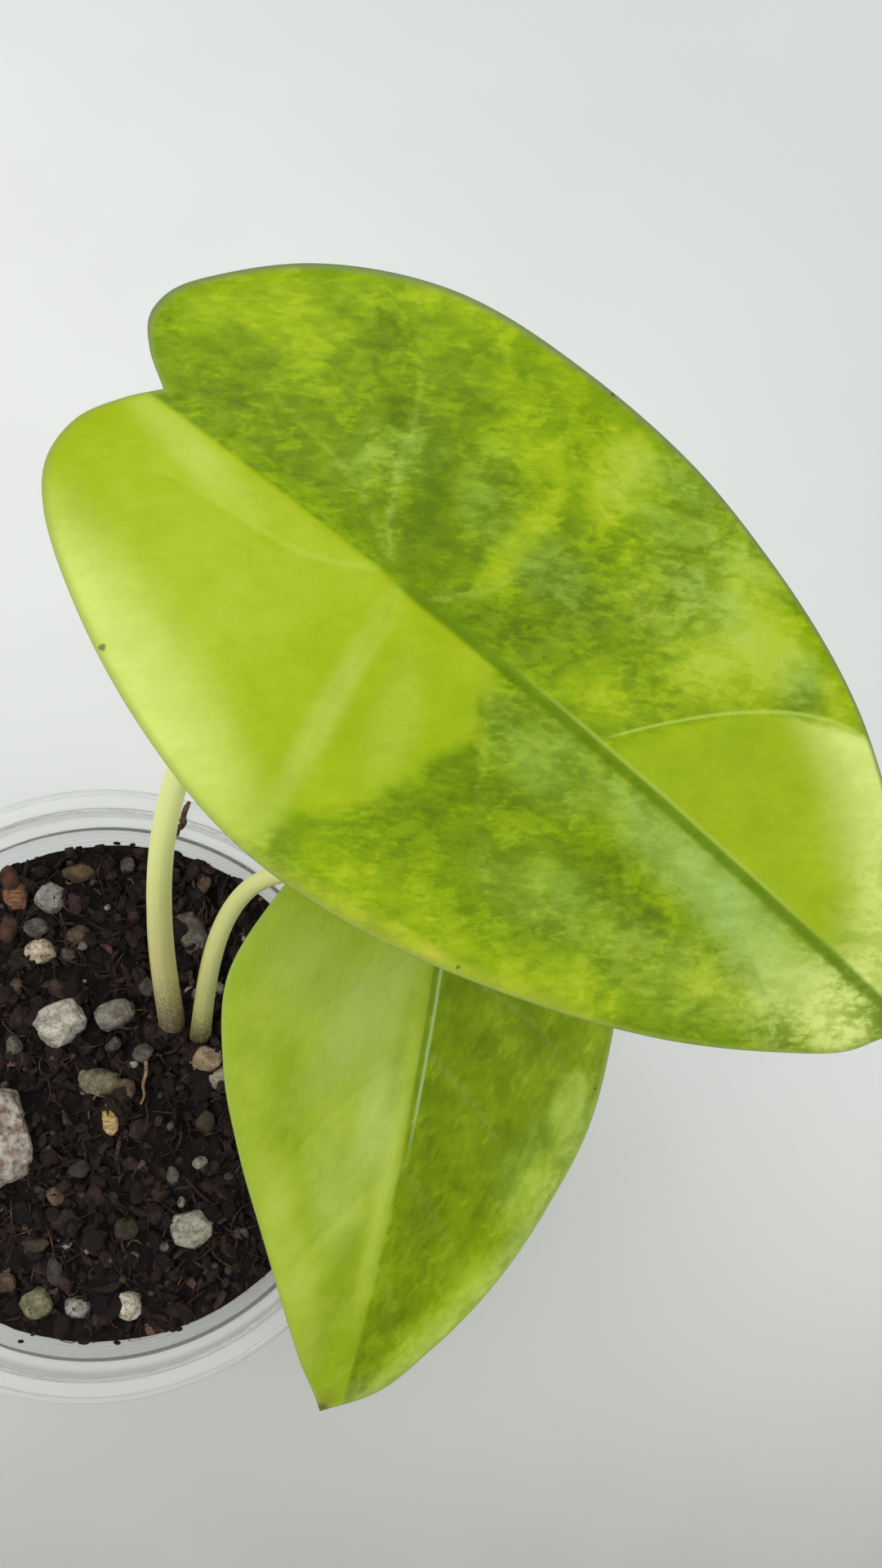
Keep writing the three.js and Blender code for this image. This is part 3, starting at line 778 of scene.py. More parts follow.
def build_grit():
    """Small lumps on the top of the mix and pressed against the wall, one piece for each look."""
    random = np.random.default_rng(5)
    heaps = {look: Heap() for look in GRIT_LOOKS}
    for x, y, width, depth, look in GRIT_PLACES:
        points, faces = grain(random, 0.5, 3, 0.72, 0.3)
        points *= np.array([width, depth, 0.8 * min(width, depth)]) / np.ptp(points, axis=0)
        heaps[look].add(points, faces, [x, y, soil_height(x, y) + 0.32 * min(width, depth)], 0.5)
    for _ in range(TOP_GRIT):
        look = TOP_LOOKS[int(random.integers(len(TOP_LOOKS)))]
        size = 0.4 + 0.5 * random.random()
        x, y = disc_place(random, 38)
        points, faces = grain(random, size, 1)
        heaps[look].add(points, faces, [x, y, soil_height(x, y) + 0.5 * size], 0.5)
    for _ in range(WALL_GRIT):
        look = WALL_LOOKS[int(random.integers(len(WALL_LOOKS)))]
        size = 0.8 + 2.1 * random.random() ** 1.6
        z, angle = 3 + 66 * random.random(), 2 * math.pi * random.random()
        points, faces = grain(random, size, 2)
        heaps[look].add(points, faces, [*at_angle(wall_inner(z) - 0.62 * size, angle), z], 0.5)
    for look, (light, dark, slot) in GRIT_LOOKS.items():
        heaps[look].piece(f"grit_{look}", stone_material(f"grit_{look}", light, dark, 1.8, 0.3), slot)


# Larger lumps and the corm: the CAD form, rounded and roughened

def refined(node, name, levels, roughen, softness=2):
    """A finer copy of a CAD node's form, each point moved by roughen(points, normals)."""
    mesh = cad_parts[node].data.copy()
    shape = bmesh.new()
    shape.from_mesh(mesh)
    bmesh.ops.remove_doubles(shape, verts=shape.verts, dist=1e-6)
    shape.to_mesh(mesh)
    shape.free()
    piece = new_object(name, mesh)
    finer = piece.modifiers.new("finer", "SUBSURF")
    finer.levels = finer.render_levels = levels
    finer.subdivision_type = "SIMPLE"
    soften = piece.modifiers.new("soften", "SMOOTH")
    soften.iterations = softness
    soften.factor = 0.5
    fine = apply_modifiers(piece)
    points, normals = (np.zeros(3 * len(fine.vertices)) for _ in range(2))
    fine.vertices.foreach_get("co", points)
    fine.vertices.foreach_get("normal", normals)
    points = roughen(points.reshape(-1, 3) / MM, normals.reshape(-1, 3))
    fine.vertices.foreach_set("co", (points * MM).ravel())
    fine.update()
    fine.shade_smooth()
    return piece


def pitted(seed, depth, pit):
    """Foamy relief: dents of a few sizes, mostly inward."""
    def roughen(points, normals):
        broad = layered_noise(points, 3.2, 3, seed)
        holes = smooth(0.15, 0.75, layered_noise(points, pit, 2, seed + 7))
        return points + normals * (depth * (0.8 * broad - 1.1 * holes) + 0.12)[:, None]
    return roughen


def layered_bark(seed, depth):
    """Thin layers that run along one way, as in bark."""
    def roughen(points, normals):
        stretched = points * [0.35, 1.6, 1.6]
        return points + normals * (depth * layered_noise(stretched, 1.2, 3, seed))[:, None]
    return roughen


# Light and dark colour of each lump
LUMP_LOOKS = {
    "pumice_boulder": ("#BDB6AB", "#7A6259"), "pumice_shard": ("#8F8A80", "#625B52"),
    "pumice_mottled": ("#8A8268", "#5C5340"), "pumice_side": ("#7D776E", "#57514A"),
    "pumice_front": ("#94926F", "#66634A"), "perlite_block": ("#D0C8BD", "#988F83"),
    "perlite_left": ("#D3C6AF", "#A08E74"), "perlite_back": ("#A8A39D", "#7C766F"),
    "perlite_front": ("#B6B2A2", "#847F70"), "perlite_rim": ("#A8A69C", "#7D7B72"),
    "perlite_corner": ("#D2CABC", "#A39680"), "bark_chip_back": ("#8C6547", "#56382A"),
    "bark_chip_stalk": ("#B3A896", "#83786A"), "bark_sliver": ("#CBAF78", "#94784C"),
}


def bark_material(name, light, dark):
    """Bark or root skin: layers that run along x, with fine dark flecks."""
    paint = Paint(name, 0.88, Specular_IOR_Level=0.3)
    place = paint.place_mm()
    layers = paint.noise(paint.stretched(place, (0.3, 1.5, 1.5)), 1.6, 4, 0.65, 0.6)
    fine = paint.noise(place, 5.0, 3)
    colour = layers.eased(0.38, 0.62).blend(dark, light)
    paint.connect("Base Color", fine.eased(0.58, 0.75, 0.0, 0.4).blend(colour, "#2C1C14"))
    paint.dent(layers + fine, 0.2, 0.7)
    return paint.material


def build_lumps():
    """The larger lumps, each in the place of its CAD node. The boulder is finer, with larger pits."""
    for seed, (node, (light, dark)) in enumerate(LUMP_LOOKS.items()):
        kind = node.split("_")[0]
        if kind == "bark":
            material = bark_material(f"{node}_look", light, dark)
            piece = refined(node, f"{node}_fine", 3, layered_bark(seed, 0.22))
        else:
            large = node == "pumice_boulder"
            levels, depth, pit, pit_scale = (4, 0.75, 2.6, 1.0) if large else (3, 0.28, 1.3, 1.6)
            material = stone_material(f"{node}_look", light, dark, pit_scale)
            softness = 0 if node == "perlite_block" else 2
            piece = refined(node, f"{node}_fine", levels, pitted(seed, depth, pit), softness)
        dress(piece, material, [node])


def build_corm():
    """The corm and its roots, with faint rings."""
    def roughen(points, normals):
        rings = 0.12 * np.sin(points[:, 2] * 2.2)
        return points + normals * (rings + 0.18 * layered_noise(points, 1.6, 3, 61))[:, None]
    material = bark_material("corm_skin", "#7A5A3E", "#3E2A1E")
    dress(refined("corm", "corm_and_roots", 2, roughen), material, ["corm"])


# Leaves

def blade_axes(leaf):
    """Along the midrib, to the left edge, and out of the upper face."""
    turn, dip, roll = (math.radians(leaf[key]) for key in ("heading", "pitch", "roll"))
    along = np.array([math.cos(turn) * math.cos(dip), math.sin(turn) * math.cos(dip), -math.sin(dip)])
    level = np.array([-math.sin(turn), math.cos(turn), 0.0])
    left = level * math.cos(roll) + np.cross(along, level) * math.sin(roll)
    return np.array([along, left, np.cross(along, left)])


def blade_height(leaf, x, y):
    """Height of a blade's middle surface: folded along the midrib, drooping to both ends."""
    droop = np.where(x > 0, leaf["droop"], leaf["back_droop"]) * x * x
    return leaf["fold"] * (np.hypot(y, leaf["crease"]) - leaf["crease"]) - droop - leaf["curl"] * y * y


def blade_outline(leaf):
    """Points round the rim from the tip, closer together at the notch and the tip."""
    u = np.arange(leaf["per_half"] + 1) / leaf["per_half"]
    shares = u - OUTLINE_SPACING * np.sin(2 * math.pi * u)
    sides = ([leaf["notch"], *leaf[side], leaf["tip"]] for side in ("left", "right"))
    left, right = (rounded_line(side, shares) for side in sides)
    return np.vstack([left[::-1], right[1:-1]])


def line_distance(x, y, line):
    """Distance of each point to a line of points, and the share of the line's length where it is nearest."""
    steps = np.diff(line, axis=0)
    lengths = np.linalg.norm(steps, axis=1)
    start = np.r_[0, np.cumsum(lengths)]
    best, share = np.full(len(x), np.inf), np.zeros(len(x))
    for a, step, length, from_start in zip(line, steps, lengths, start):
        along = np.clip(((x - a[0]) * step[0] + (y - a[1]) * step[1]) / length**2, 0, 1)
        gap = np.hypot(x - a[0] - along * step[0], y - a[1] - along * step[1])
        nearer = gap < best
        best = np.where(nearer, gap, best)
        share = np.where(nearer, (from_start + along * length) / start[-1], share)
    return best, share


def patches(x, y, spots):
    """Sum of soft oval spots, each given by its centre, half sizes, turn and weight."""
    total = np.zeros(len(x))
    for cx, cy, rx, ry, turn, weight in spots:
        c, s = math.cos(math.radians(turn)), math.sin(math.radians(turn))
        along, across = (x - cx) * c + (y - cy) * s, (y - cy) * c - (x - cx) * s
        total += weight * smooth(1.6, 0.3, np.hypot(along / rx, across / ry))
    return total


# Veins of each blade: points from the joint outward, depth of relief, and how pale the line is
VEINS = {
    "large": [
        ([(0, 0), (-3.5, 3.8), (-6.8, 10.1), (-8.6, 15), (-13, 21.5), (-16.5, 25)], 0.16, 0.5),
        ([(0, 0), (-4, 2.6), (-10, 5.2), (-20, 6.8), (-31.3, 8.5)], 0.14, 0.25),
        ([(0, 0), (-7.9, -4.2), (-15.3, -5.7), (-21.4, -6.1), (-25.1, -6.8), (-30.5, -10.6)], 0.16, 0.55),
        ([(5, 0), (9.5, 5.4), (12.2, 12), (13.6, 16), (15.4, 21.5), (19, 28)], 0.16, 0.32),
        ([(1, 0), (3.0, -4), (3.2, -8.7), (3.6, -14), (4.6, -19.5), (8.2, -27)], 0.14, 0.35),
        ([(29.5, 0), (32.6, 4), (35.5, 7.2), (41.2, 13.1), (46.1, 17.0), (54.6, 20.8), (60, 20)], 0.2, 0.0),
        ([(14, 0), (19, -8), (23, -14.5), (29, -21), (37, -26.5)], 0.14, 0.15),
        ([(16, 0), (21, 8), (25, 14), (31, 20), (38, 25.5)], 0.14, 0.12),
        ([(33, 0), (39, -7), (46, -13), (55, -18.5), (62, -19)], 0.14, 0.15),
        ([(52, 0), (58, -4.5), (66, -8.6), (75, -10.8)], 0.1, 0.12),
        ([(52, 0), (58, 5), (65, 9.5), (72, 11.5)], 0.1, 0.15),
    ],
    "small": [
        ([(0, 0), (-4, 4), (-8, 9), (-12, 14), (-13, 18)], 0.14, 0.5),
        ([(0, 0), (-4, -4), (-8, -9), (-10.5, -14)], 0.14, 0.5),
        ([(2, 0), (6, 7), (10, 14), (16, 20), (22, 23)], 0.14, 0.2),
        ([(2, 0), (6, -8), (10, -15), (15, -21), (22, -25)], 0.14, 0.15),
        ([(15, 0), (21, 7), (28, 13), (36, 17.5), (43, 17)], 0.14, 0.15),
        ([(15, 0), (21, -8), (28, -14), (36, -18.5)], 0.14, 0.12),
        ([(32, 0), (39, 6), (47, 10.5), (56, 11)], 0.1, 0.1),
        ([(32, 0), (39, -7), (47, -12), (53, -12)], 0.1, 0.1),
        ([(48, 0), (54, 3.5), (62, 6)], 0.08, 0.08),
        ([(48, 0), (54, -4), (61, -6.5)], 0.08, 0.08),
    ],
}
VEIN_WIDTH = 0.75
QUILT = 0.3
QUILT_REACH = 5

# Where the lime half of the large blade ends: distances from the midrib, and the place along it for each
LIME_END = ([0, 4, 7, 12, 16, 20, 24, 29, 34], [16.6, 17.6, 17.5, 16, 14, 12.5, 10.5, 6.5, 3.5])
# The long side vein of the large blade: the terms of y as powers of x
FAR_VEIN = (-50.0, 1.905, -0.00288, -0.0001508)
# Where the lime patch beyond it starts, in the same way
FAR_LIME = ([0, 4, 7.2, 13.1, 17, 20.8, 26], [31, 33.5, 35.8, 41.3, 46.4, 55, 66])

# Soft oval spots of each blade: centre, half sizes, turn, weight. Light and deep ones shift the green, pale
# ones are pale variegation and partly a painted highlight, bluish-grey ones are a painted sheen and yellow
# ones are ageing.
SPOTS = {
    "large": {
        "light": [
            (-26, 15, 7, 4.4, -12, 0.3), (-17, 24.4, 8, 2.4, 28, 0.14), (9, 10.5, 1.7, 7, -2, 0.42),
            (13.8, 23.5, 4, 5, -10, 0.4), (25.5, 4, 4.4, 2.6, 10, 0.36), (-9, 27, 6, 2, 12, 0.14),
            (4, 20, 4.6, 2.8, 0, 0.26), (33, 16.5, 3, 4, 30, 0.12), (38, 22, 9, 3.6, -18, 0.24),
            (-33, 11, 4, 3.6, 0, 0.2), (5, 28, 8, 2, 0, 0.1), (44, -16, 4.4, 2.4, 0, 0.14),
            (53, -14, 6, 3.4, 10, 0.2), (33, -14, 3.6, 4.4, 20, 0.12), (18, -28.5, 9, 3, 8, 0.26),
            (26, -23, 5, 3, 0, 0.1), (75, -6, 11, 4, -8, 0.3), (63, -12, 8, 2.6, 12, 0.24),
            (32, -28, 9, 2.4, 12, 0.26), (45, -23, 9, 2.6, 16, 0.24), (32, 12, 4, 6, 20, 0.1),
            (55, -5.4, 18, 4.4, -3, 0.2), (38, 17, 6.5, 5, 45, 0.36), (37, 23, 7, 3, -20, 0.2),
            (51, 22, 6, 2.4, -24, 0.26),
        ],
        "deep": [
            (-14, 3, 18, 2.6, 4, 0.12), (3, 9, 4.5, 6, 20, 0.08), (16, 2.4, 14, 2.2, 6, 0.14),
            (-8, 15, 8, 5, 30, 0.06), (-18, 14, 20, 13, 0, 0.08), (18, 9, 12, 6, 10, 0.12),
            (-33, -10, 5, 8, 0, 0.3), (-26, -16, 5, 4, 0, 0.16), (22, -18, 8, 7, 0, 0.08),
            (44, -10, 9, 4, 10, 0.08), (30, 20, 7, 4, -15, 0.12), (45, 20, 4, 2.4, -15, 0.14),
            (36, -13, 6, 4, 0, 0.1), (49, -13, 6, 3, 0, 0.18), (15, 8, 8, 4, 20, 0.08),
            (-2, 9, 2.5, 5, 15, 0.16), (12, 3, 6, 2, 0, 0.16), (17.5, 11.5, 4, 5, 20, 0.14),
            (-20, 17, 7, 4, 20, 0.06), (72, 2.6, 10, 2.4, -6, 0.16), (24, -8, 9, 5, 0, 0.06),
            (56, -8, 9, 3, -8, 0.06), (-2, 5, 8, 4, 40, 0.06),
        ],
        "pale": [
            (-13, -24.5, 19, 4.6, -22, 0.3), (-24, -3, 8, 1.8, -8, 0.2), (3.4, -17, 1.5, 12, 8, 0.2),
            (10, -13, 2.5, 7, 20, 0.1), (80, -4, 8, 5, 0, 0.4), (74, -7, 11, 6, 10, 0.6),
            (56, -14, 12, 4, 16, 0.12), (30, 17, 8, 5, 0, 0.1),
        ],
        "cool": [
            (26, -4.8, 8, 4.2, 0, 0.4), (47, -4, 13, 3.4, -4, 0.9), (62, -5, 12, 4.4, -4, 0.9),
            (16, 25, 5, 4, 0, 0.4), (-8, 9.5, 5, 3, 50, 0.4), (3, 13, 3, 5, 30, 0.25),
            (45, 20.5, 4, 2.6, -14, 0.6), (30, 21, 8, 3.4, -10, 0.5), (36, -17, 9, 4, 10, 0.3),
            (14, 11, 6, 3, 0, 0.3), (27, 27, 9, 2, -8, 0.5),
        ],
        "yellow": [
            (20, -31.6, 15, 1.4, 8, 0.35), (28, -29.8, 1.6, 0.8, 10, 0.5), (42, -26.8, 12, 1.1, 14, 0.3),
        ],
    },
    "small": {
        "light": [
            (21, 21, 5, 2.4, 0, 0.4), (33, 18, 6, 2.4, -16, 0.34), (57, 9.5, 11, 3, -28, 0.36),
            (45, 13.5, 6, 2.4, -20, 0.28), (11, 22, 4, 2.4, 0, 0.2), (10, 10, 4, 2, 30, 0.14),
            (44, 9, 4, 2, -20, 0.14), (22, 6, 5, 2, 12, 0.1), (7, 16, 3, 3, 0, 0.12),
            (32, -1.8, 22, 1.3, 0, 0.16), (44, -14.5, 14, 3, 22, 0.16),
        ],
        "deep": [
            (30, 9, 18, 7, 0, 0.08), (18, 3, 15, 2.4, 0, 0.08), (46, 4, 17, 2.4, -4, 0.14),
            (25, -17.8, 9, 2.8, 10, 0.28), (57, -4, 13, 3.2, 8, 0.3), (14, -2.8, 11, 1.7, -4, 0.26),
            (66, 0, 6, 3, 0, 0.1), (16, -22.5, 9, 4, 10, 0.1), (33, -10, 12, 2, -30, 0.1),
            (42, -12, 9, 3, 16, 0.1),
        ],
        "pale": [
            (25, -5, 9, 2.8, 0, 0.4), (21, 21, 5, 2.4, 0, 0.2), (36, -9, 9, 3.4, 14, 0.2),
            (8, -8, 9, 4, -30, 0.2),
        ],
        "cool": [
            (13, -9, 9, 5, -20, 0.6), (5, -18, 8, 5, 40, 0.5), (19, -14, 8, 2.2, -35, 0.3),
            (30, 17, 8, 3, -12, 0.4),
        ],
        "yellow": [(71, -3, 2.6, 1.6, 0, 0.5)],
    },
}


def blade_paint(name, x, y, rim_gap):
    """Marks of the paint over a blade: level of green from 0, deepest, to 1, lime, marbling, and washes,
    which hold a painted sheen and, near the rim, a painted highlight.
    """
    spots = SPOTS[name]
    washes = {key: patches(x, y, spots[key]) for key in ("pale", "cool", "yellow")}
    if name == "large":
        lower = smooth(-0.2, -1.0, y)
        ragged = 2.6 * layered_noise(np.c_[x, y, 0 * x], 5, 4, 71)
        lime = lower * smooth(-1.6, 1.6, np.interp(-y, *LIME_END) + ragged - x)
        far = smooth(-0.2, 0.8, y) * smooth(-0.8, 1.4, x - np.interp(y, *FAR_LIME))
        level = 0.44 - 0.08 * lower + lime * (0.52 - 0.16 * smooth(-10, 8, x))
        level = level + far * (0.23 + 0.1 * smooth(46, 62, x))
        marbled = 1 - 0.82 * np.maximum(lime, far * (1 - 0.5 * smooth(62, 76, x)))
        # Painted highlight: the pale wash is raised along the rim of the far lime patch and of the lower
        # lime half, where the curled margins catch the light.
        washes["pale"] += 0.85 * far * smooth(17, 0, rim_gap) * smooth(40, 66, x + y)
        washes["pale"] += 0.3 * lime * smooth(9, 0, rim_gap) * smooth(8, -8, x) * smooth(-12, -22, y)
        # The marbling is calmer under the painted sheen below the midrib.
        marbled = marbled * (1 - 0.45 * np.clip(washes["cool"], 0, 1) * lower)
    else:
        lower = smooth(0.2, -0.6, y)
        level = 0.36 + 0.38 * lower
        marbled = 0.72 - 0.52 * lower
        # Painted highlight: the pale wash is raised along the rim of the upper half.
        washes["pale"] += 0.4 * (1 - lower) * smooth(6, 0, rim_gap) * smooth(10, 30, x)
    light = patches(x, y, spots["light"])
    level = level + light - patches(x, y, spots["deep"]) * marbled**0.5
    marbled = marbled * (1 - 0.8 * np.clip(light, 0, 0.8))
    return {"level": level, "marbled": marbled, **washes}


def blade_mesh(name):
    """Points, faces and marks of one blade: rays run from the joint to the rim, on both faces."""
    leaf = BLADES[name]
    outline = blade_outline(leaf)
    count, rings = len(outline), leaf["rings"]
    reach = np.linalg.norm(outline, axis=1)
    near_rim = (RIM_ROUND, 0.5 * RIM_ROUND, 0.15 * RIM_ROUND, 0.0)
    shares = [(1 - RIM_ROUND / reach) * i / (rings - 3) for i in range(1, rings - 3)]
    shares = np.array(shares + [1 - gap / reach for gap in near_rim])
    share = np.r_[0, shares.ravel()]
    rim_gap = np.r_[reach.max(), ((1 - shares) * reach).ravel()]
    x = np.r_[0, (outline[:, 0] * shares).ravel()]
    y = np.r_[0, (outline[:, 1] * shares).ravel()]
    ray = np.r_[0, np.tile(np.arange(count), len(shares)) / count]

    thickness = BLADE_HALF[0] + (BLADE_HALF[1] - BLADE_HALF[0]) * share
    half = thickness * np.sqrt(np.clip(1 - (1 - np.clip(rim_gap / RIM_ROUND, 0, 1)) ** 2, 0, 1))
    ripple = leaf["wave"] * share**3 * np.sin(2 * math.pi * RIPPLES * ray)
    keel = KEEL * (1 - KEEL_TAPER * share) * np.exp(-((y / KEEL_WIDTH) ** 2))
    boss = BOSS * np.exp(-(x * x + y * y) / BOSS_WIDTH**2)
    flat = np.c_[x, y, np.zeros(len(x))]
    fade = smooth(0, 2.5, rim_gap)

    groove, ridge, pale_line = np.zeros(len(x)), np.zeros(len(x)), np.zeros(len(x))
    nearest = np.abs(y)
    for route, depth, pale in VEINS[name]:
        gap, along = line_distance(x, y, rounded_line(route, np.linspace(0, 1, 40)))
        width = VEIN_WIDTH * (1.15 - 0.6 * along)
        profile = np.exp(-((gap / width) ** 2)) * (1 - along**3) * smooth(0, 6, np.hypot(x, y))
        groove = np.maximum(groove, depth * profile)
        ridge = np.maximum(ridge, 1.9 * depth * profile)
        line = pale * np.exp(-((gap / (0.62 * width)) ** 2)) * (1 - along) ** 0.7
        pale_line = np.maximum(pale_line, line * smooth(0.3, 2.5, np.hypot(x, y)))
        nearest = np.minimum(nearest, gap + 2.5 * along)
    quilt = QUILT * (1 - np.exp(-((nearest / QUILT_REACH) ** 2))) * fade
    rumple = 0.14 * layered_noise(flat, 7, 3, 31) * fade
    midrib = 0.42 * np.exp(-((y / 0.95) ** 2)) * (1 - share**6)
    middle = blade_height(leaf, x, y) + ripple + quilt + rumple
    upper_z = middle + half - (groove + midrib) * fade
    lower_z = middle - half - np.maximum(np.maximum(keel, boss), ridge * fade) * np.clip(rim_gap / 1.2, 0, 1)

    inner = len(x) - count
    points = np.vstack([np.c_[x, y, upper_z], np.c_[x, y, lower_z][:inner]])
    under = np.r_[np.zeros(len(x)), np.ones(inner)]
    under[inner : len(x)] = 0.35
    marks = {"leaf_at": flat, "vein": pale_line, "rim": smooth(1.0, 0.2, rim_gap)}
    marks.update(blade_paint(name, x, y, rim_gap))
    marks = {key: np.concatenate([value, value[:inner]]) for key, value in marks.items()}
    marks["under"] = under

    side = np.arange(count)
    after = (side + 1) % count
    top_rings = ring_faces(len(shares), count, 1)[:, ::-1]
    low_rings = ring_faces(len(shares) - 1, count, len(x) + 1)
    last_low = len(x) + 1 + (len(shares) - 2) * count
    closing = np.stack([last_low + side, last_low + after, inner + after, inner + side], -1)
    faces = [*top_rings.tolist(), *low_rings.tolist(), *closing.tolist()]
    faces += [[0, 1 + i, 1 + j] for i, j in zip(side, after)]
    faces += [[len(x), len(x) + 1 + j, len(x) + 1 + i] for i, j in zip(side, after)]
    world = np.array(leaf["joint"]) + points @ blade_axes(leaf)
    return world, faces, marks


# Greens from the deepest to lime, and the colours of washes, lines, rim, underside and the painted shade on
# the left rim.
# One wash is a painted sheen and the pale one partly a painted highlight.
BLADE_CODES = {
    "large": {
        "greens": (
            (0.0, "#587301"), (0.22, "#698502"), (0.44, "#7B9804"),
            (0.6, "#8BA508"), (0.76, "#9BB012"), (0.96, "#A8BC2E"),
        ),
        "pale": "#E6F194", "cool": "#A8C874", "yellow": "#C2C040", "groove": "#5C7C06", "line": "#B4CA52",
        "rim": "#8E9E4C", "left_rim_shade": "#6C7A56", "under": "#A2B65E", "under_deep": "#80994A",
    },
    "small": {
        "greens": (
            (0.0, "#586F02"), (0.22, "#698103"), (0.42, "#769006"),
            (0.6, "#8AA318"), (0.78, "#9EB332"), (1.0, "#ACC04C"),
        ),
        "pale": "#C6D688", "cool": "#9DB868", "yellow": "#6E5A30", "groove": "#5C7A08", "line": "#A9BC80",
        "rim": "#93A84E", "left_rim_shade": "#93A84E", "under": "#98AE5A", "under_deep": "#768F48",
    },
}
# The pale line on the midrib: where it starts, is full, starts to fade and ends, its strength and half width
CRESTS = {"large": (14, 30, 58, 74, 0.42, 0.34), "small": (-4, 1, 20, 34, 0.7, 0.3)}
# The dark line beside it: half width, strength, where it starts to fade and ends
GROOVES = {"large": (1.15, 0.75, 90, 110), "small": (0.42, 0.6, 16, 34)}
# Side veins with a fine pale line: the terms of y as powers of x, where the line starts and ends, strength
FINE_VEINS = {"large": [(FAR_VEIN, 30, 62, 0.6)], "small": []}
# Brown specks: place and size
SPECKS = {
    "large": [(-18.9, -25.4, 0.5), (7.1, 30.2, 0.4), (31.5, -29.4, 0.35)],
    "small": [(72, -3.2, 1.5), (18, 24, 0.3)],
}
# Which way the strokes of the marbling run, in degrees from the midrib
STROKE_TURNS = {"large": 33, "small": -17}


def blade_material(name):
    """Marbled greens, then washes, veins, midrib, rim and specks, with a paler underside and a fine net."""
    codes = BLADE_CODES[name]
    glow = {"Subsurface_Weight": 0.08, "Subsurface_Radius": (0.8, 1.0, 0.2), "Subsurface_Scale": 0.001}
    paint = Paint(f"blade_{name}_skin", 0.42, Specular_IOR_Level=0.1, **glow)
    place = paint.mark("leaf_at", "Vector")
    turn = (0, 0, math.radians(-STROKE_TURNS[name]))
    turned = paint.add("Mapping", 0, {"Vector": place, "Rotation": turn})
    fine = paint.stretched(turned, (0.5, 1.2, 1))
    broad = paint.noise(paint.stretched(turned, (0.7, 1.1, 1)), 0.3, 5, 0.6, 0.5)
    speck = paint.noise(fine, 0.9, 5, 0.66, 0.4)
    tiny = paint.noise(fine, 2.6, 3, 0.6, 0.3)
    soft = paint.noise(place, 0.11, 3, 0.5)

    marbled = paint.mark("marbled")
    strokes = (broad - 0.5) * 0.95 + (speck - 0.5) * 0.75
    level = paint.mark("level") + strokes * marbled + (soft - 0.5) * 0.36 + (tiny - 0.5) * 0.22 * marbled
    island = paint.noise(turned, 0.15, 4, 0.55, 0.8) + (speck - 0.5) * 0.4
    level = level + island.eased(0.5, 0.58, -0.05, 0.1) * marbled
    colour = level.ramp(codes["greens"])
    gaps = (broad + (speck - 0.5) * 0.6).eased(0.64, 0.38, 0.0, 0.85)
    wander = 1.0 - gaps * marbled
    # The pale wash is partly pale variegation and partly a painted highlight near the rim and tip; the
    # bluish-grey wash is a painted sheen.
    for wash, weight in (("pale", 0.85), ("cool", 0.48)):
        colour = (paint.mark(wash) * wander * weight).blend(colour, codes[wash])
    colour = (paint.mark("yellow") * 0.8).blend(colour, codes["yellow"])
    colour = (paint.mark("vein") * speck.eased(0.35, 0.6, 0.3, 0.75)).blend(colour, codes["line"])

    x, y, _ = paint.apart(place)
    half, strength, fade, end = GROOVES[name]
    groove = abs(y + 0.3).eased(half, 0.3 * half, 0.0, strength)
    groove = groove * x.eased(-1, 4) * x.eased(fade, end, 1.0, 0.0)
    colour = groove.blend(colour, codes["groove"])
    rise, full, fade, end, strength, half = CRESTS[name]
    crest = abs(y - 0.5).eased(half, 0.3 * half, 0.0, strength)
    crest = crest * x.eased(rise, full) * x.eased(fade, end, 1.0, 0.0)
    colour = crest.blend(colour, codes["line"])
    for terms, start, end, strength in FINE_VEINS[name]:
        off = y
        for power, term in enumerate(terms):
            off = off - term * x**power
        line = abs(off).eased(0.42, 0.12, 0.0, strength)
        line = line * x.eased(start, start + 2) * x.eased(end - 8, end, 1.0, 0.0)
        colour = line.blend(colour, codes["line"])
    rim = paint.mark("rim")
    colour = (rim * 0.6).blend(colour, codes["rim"])
    # Painted shade: the left rim, which curls down, is darker on the large blade.
    colour = (rim * y.eased(0, 6) * 0.7).blend(colour, codes["left_rim_shade"])
    for *at, reach in SPECKS[name]:
        gap = paint.add("VectorMath", "Value", {0: place, 1: (*at, 0)}, operation="DISTANCE")
        gap = gap + (tiny - 0.5) * 0.5
        colour = gap.eased(reach, 0.4 * reach, 0.0, 0.75).blend(colour, "#5A4A2A")

    low = level.eased(0.3, 0.7).blend(codes["under_deep"], codes["under"])
    low = (paint.mark("vein") * 0.9).blend(low, "#BFCB8E")
    paint.connect("Base Color", paint.mark("under").blend(colour, low))

    cells = {"Vector": place, "Scale": 0.5, "Randomness": 0.9}
    net = paint.add("TexVoronoi", "Distance", cells, feature="DISTANCE_TO_EDGE").eased(0.0, 0.14)
    paint.dent(net * 0.4 + paint.noise(place, 2.2, 3, 0.6) * 0.6, 0.1, 0.3)
    sheen = paint.noise(place, 0.5, 3).eased(0.3, 0.7, 0.38, 0.5)
    paint.connect("Roughness", sheen + paint.mark("under") * 0.15)
    return paint.material


def build_blade(name):
    """One blade in the place of its CAD node."""
    points, faces, marks = blade_mesh(name)
    make_piece(f"leaf_{name}", points, faces, blade_material(name), [f"blade_{name}"], marks)


# Stalks

STALK_CODES = {
    "large": {
        "base": "#6E5A48", "foot": "#8C7A60", "low": "#E6DA94", "high": "#F2F8A2", "streak": "#F0F4B6",
        "sheath": "#BC9C58",
    },
    "small": {
        "base": "#50482E", "foot": "#585636", "low": "#D0D086", "high": "#ECEC9E", "streak": "#F0F0B2",
        "sheath": "#B0A462",
    },
}


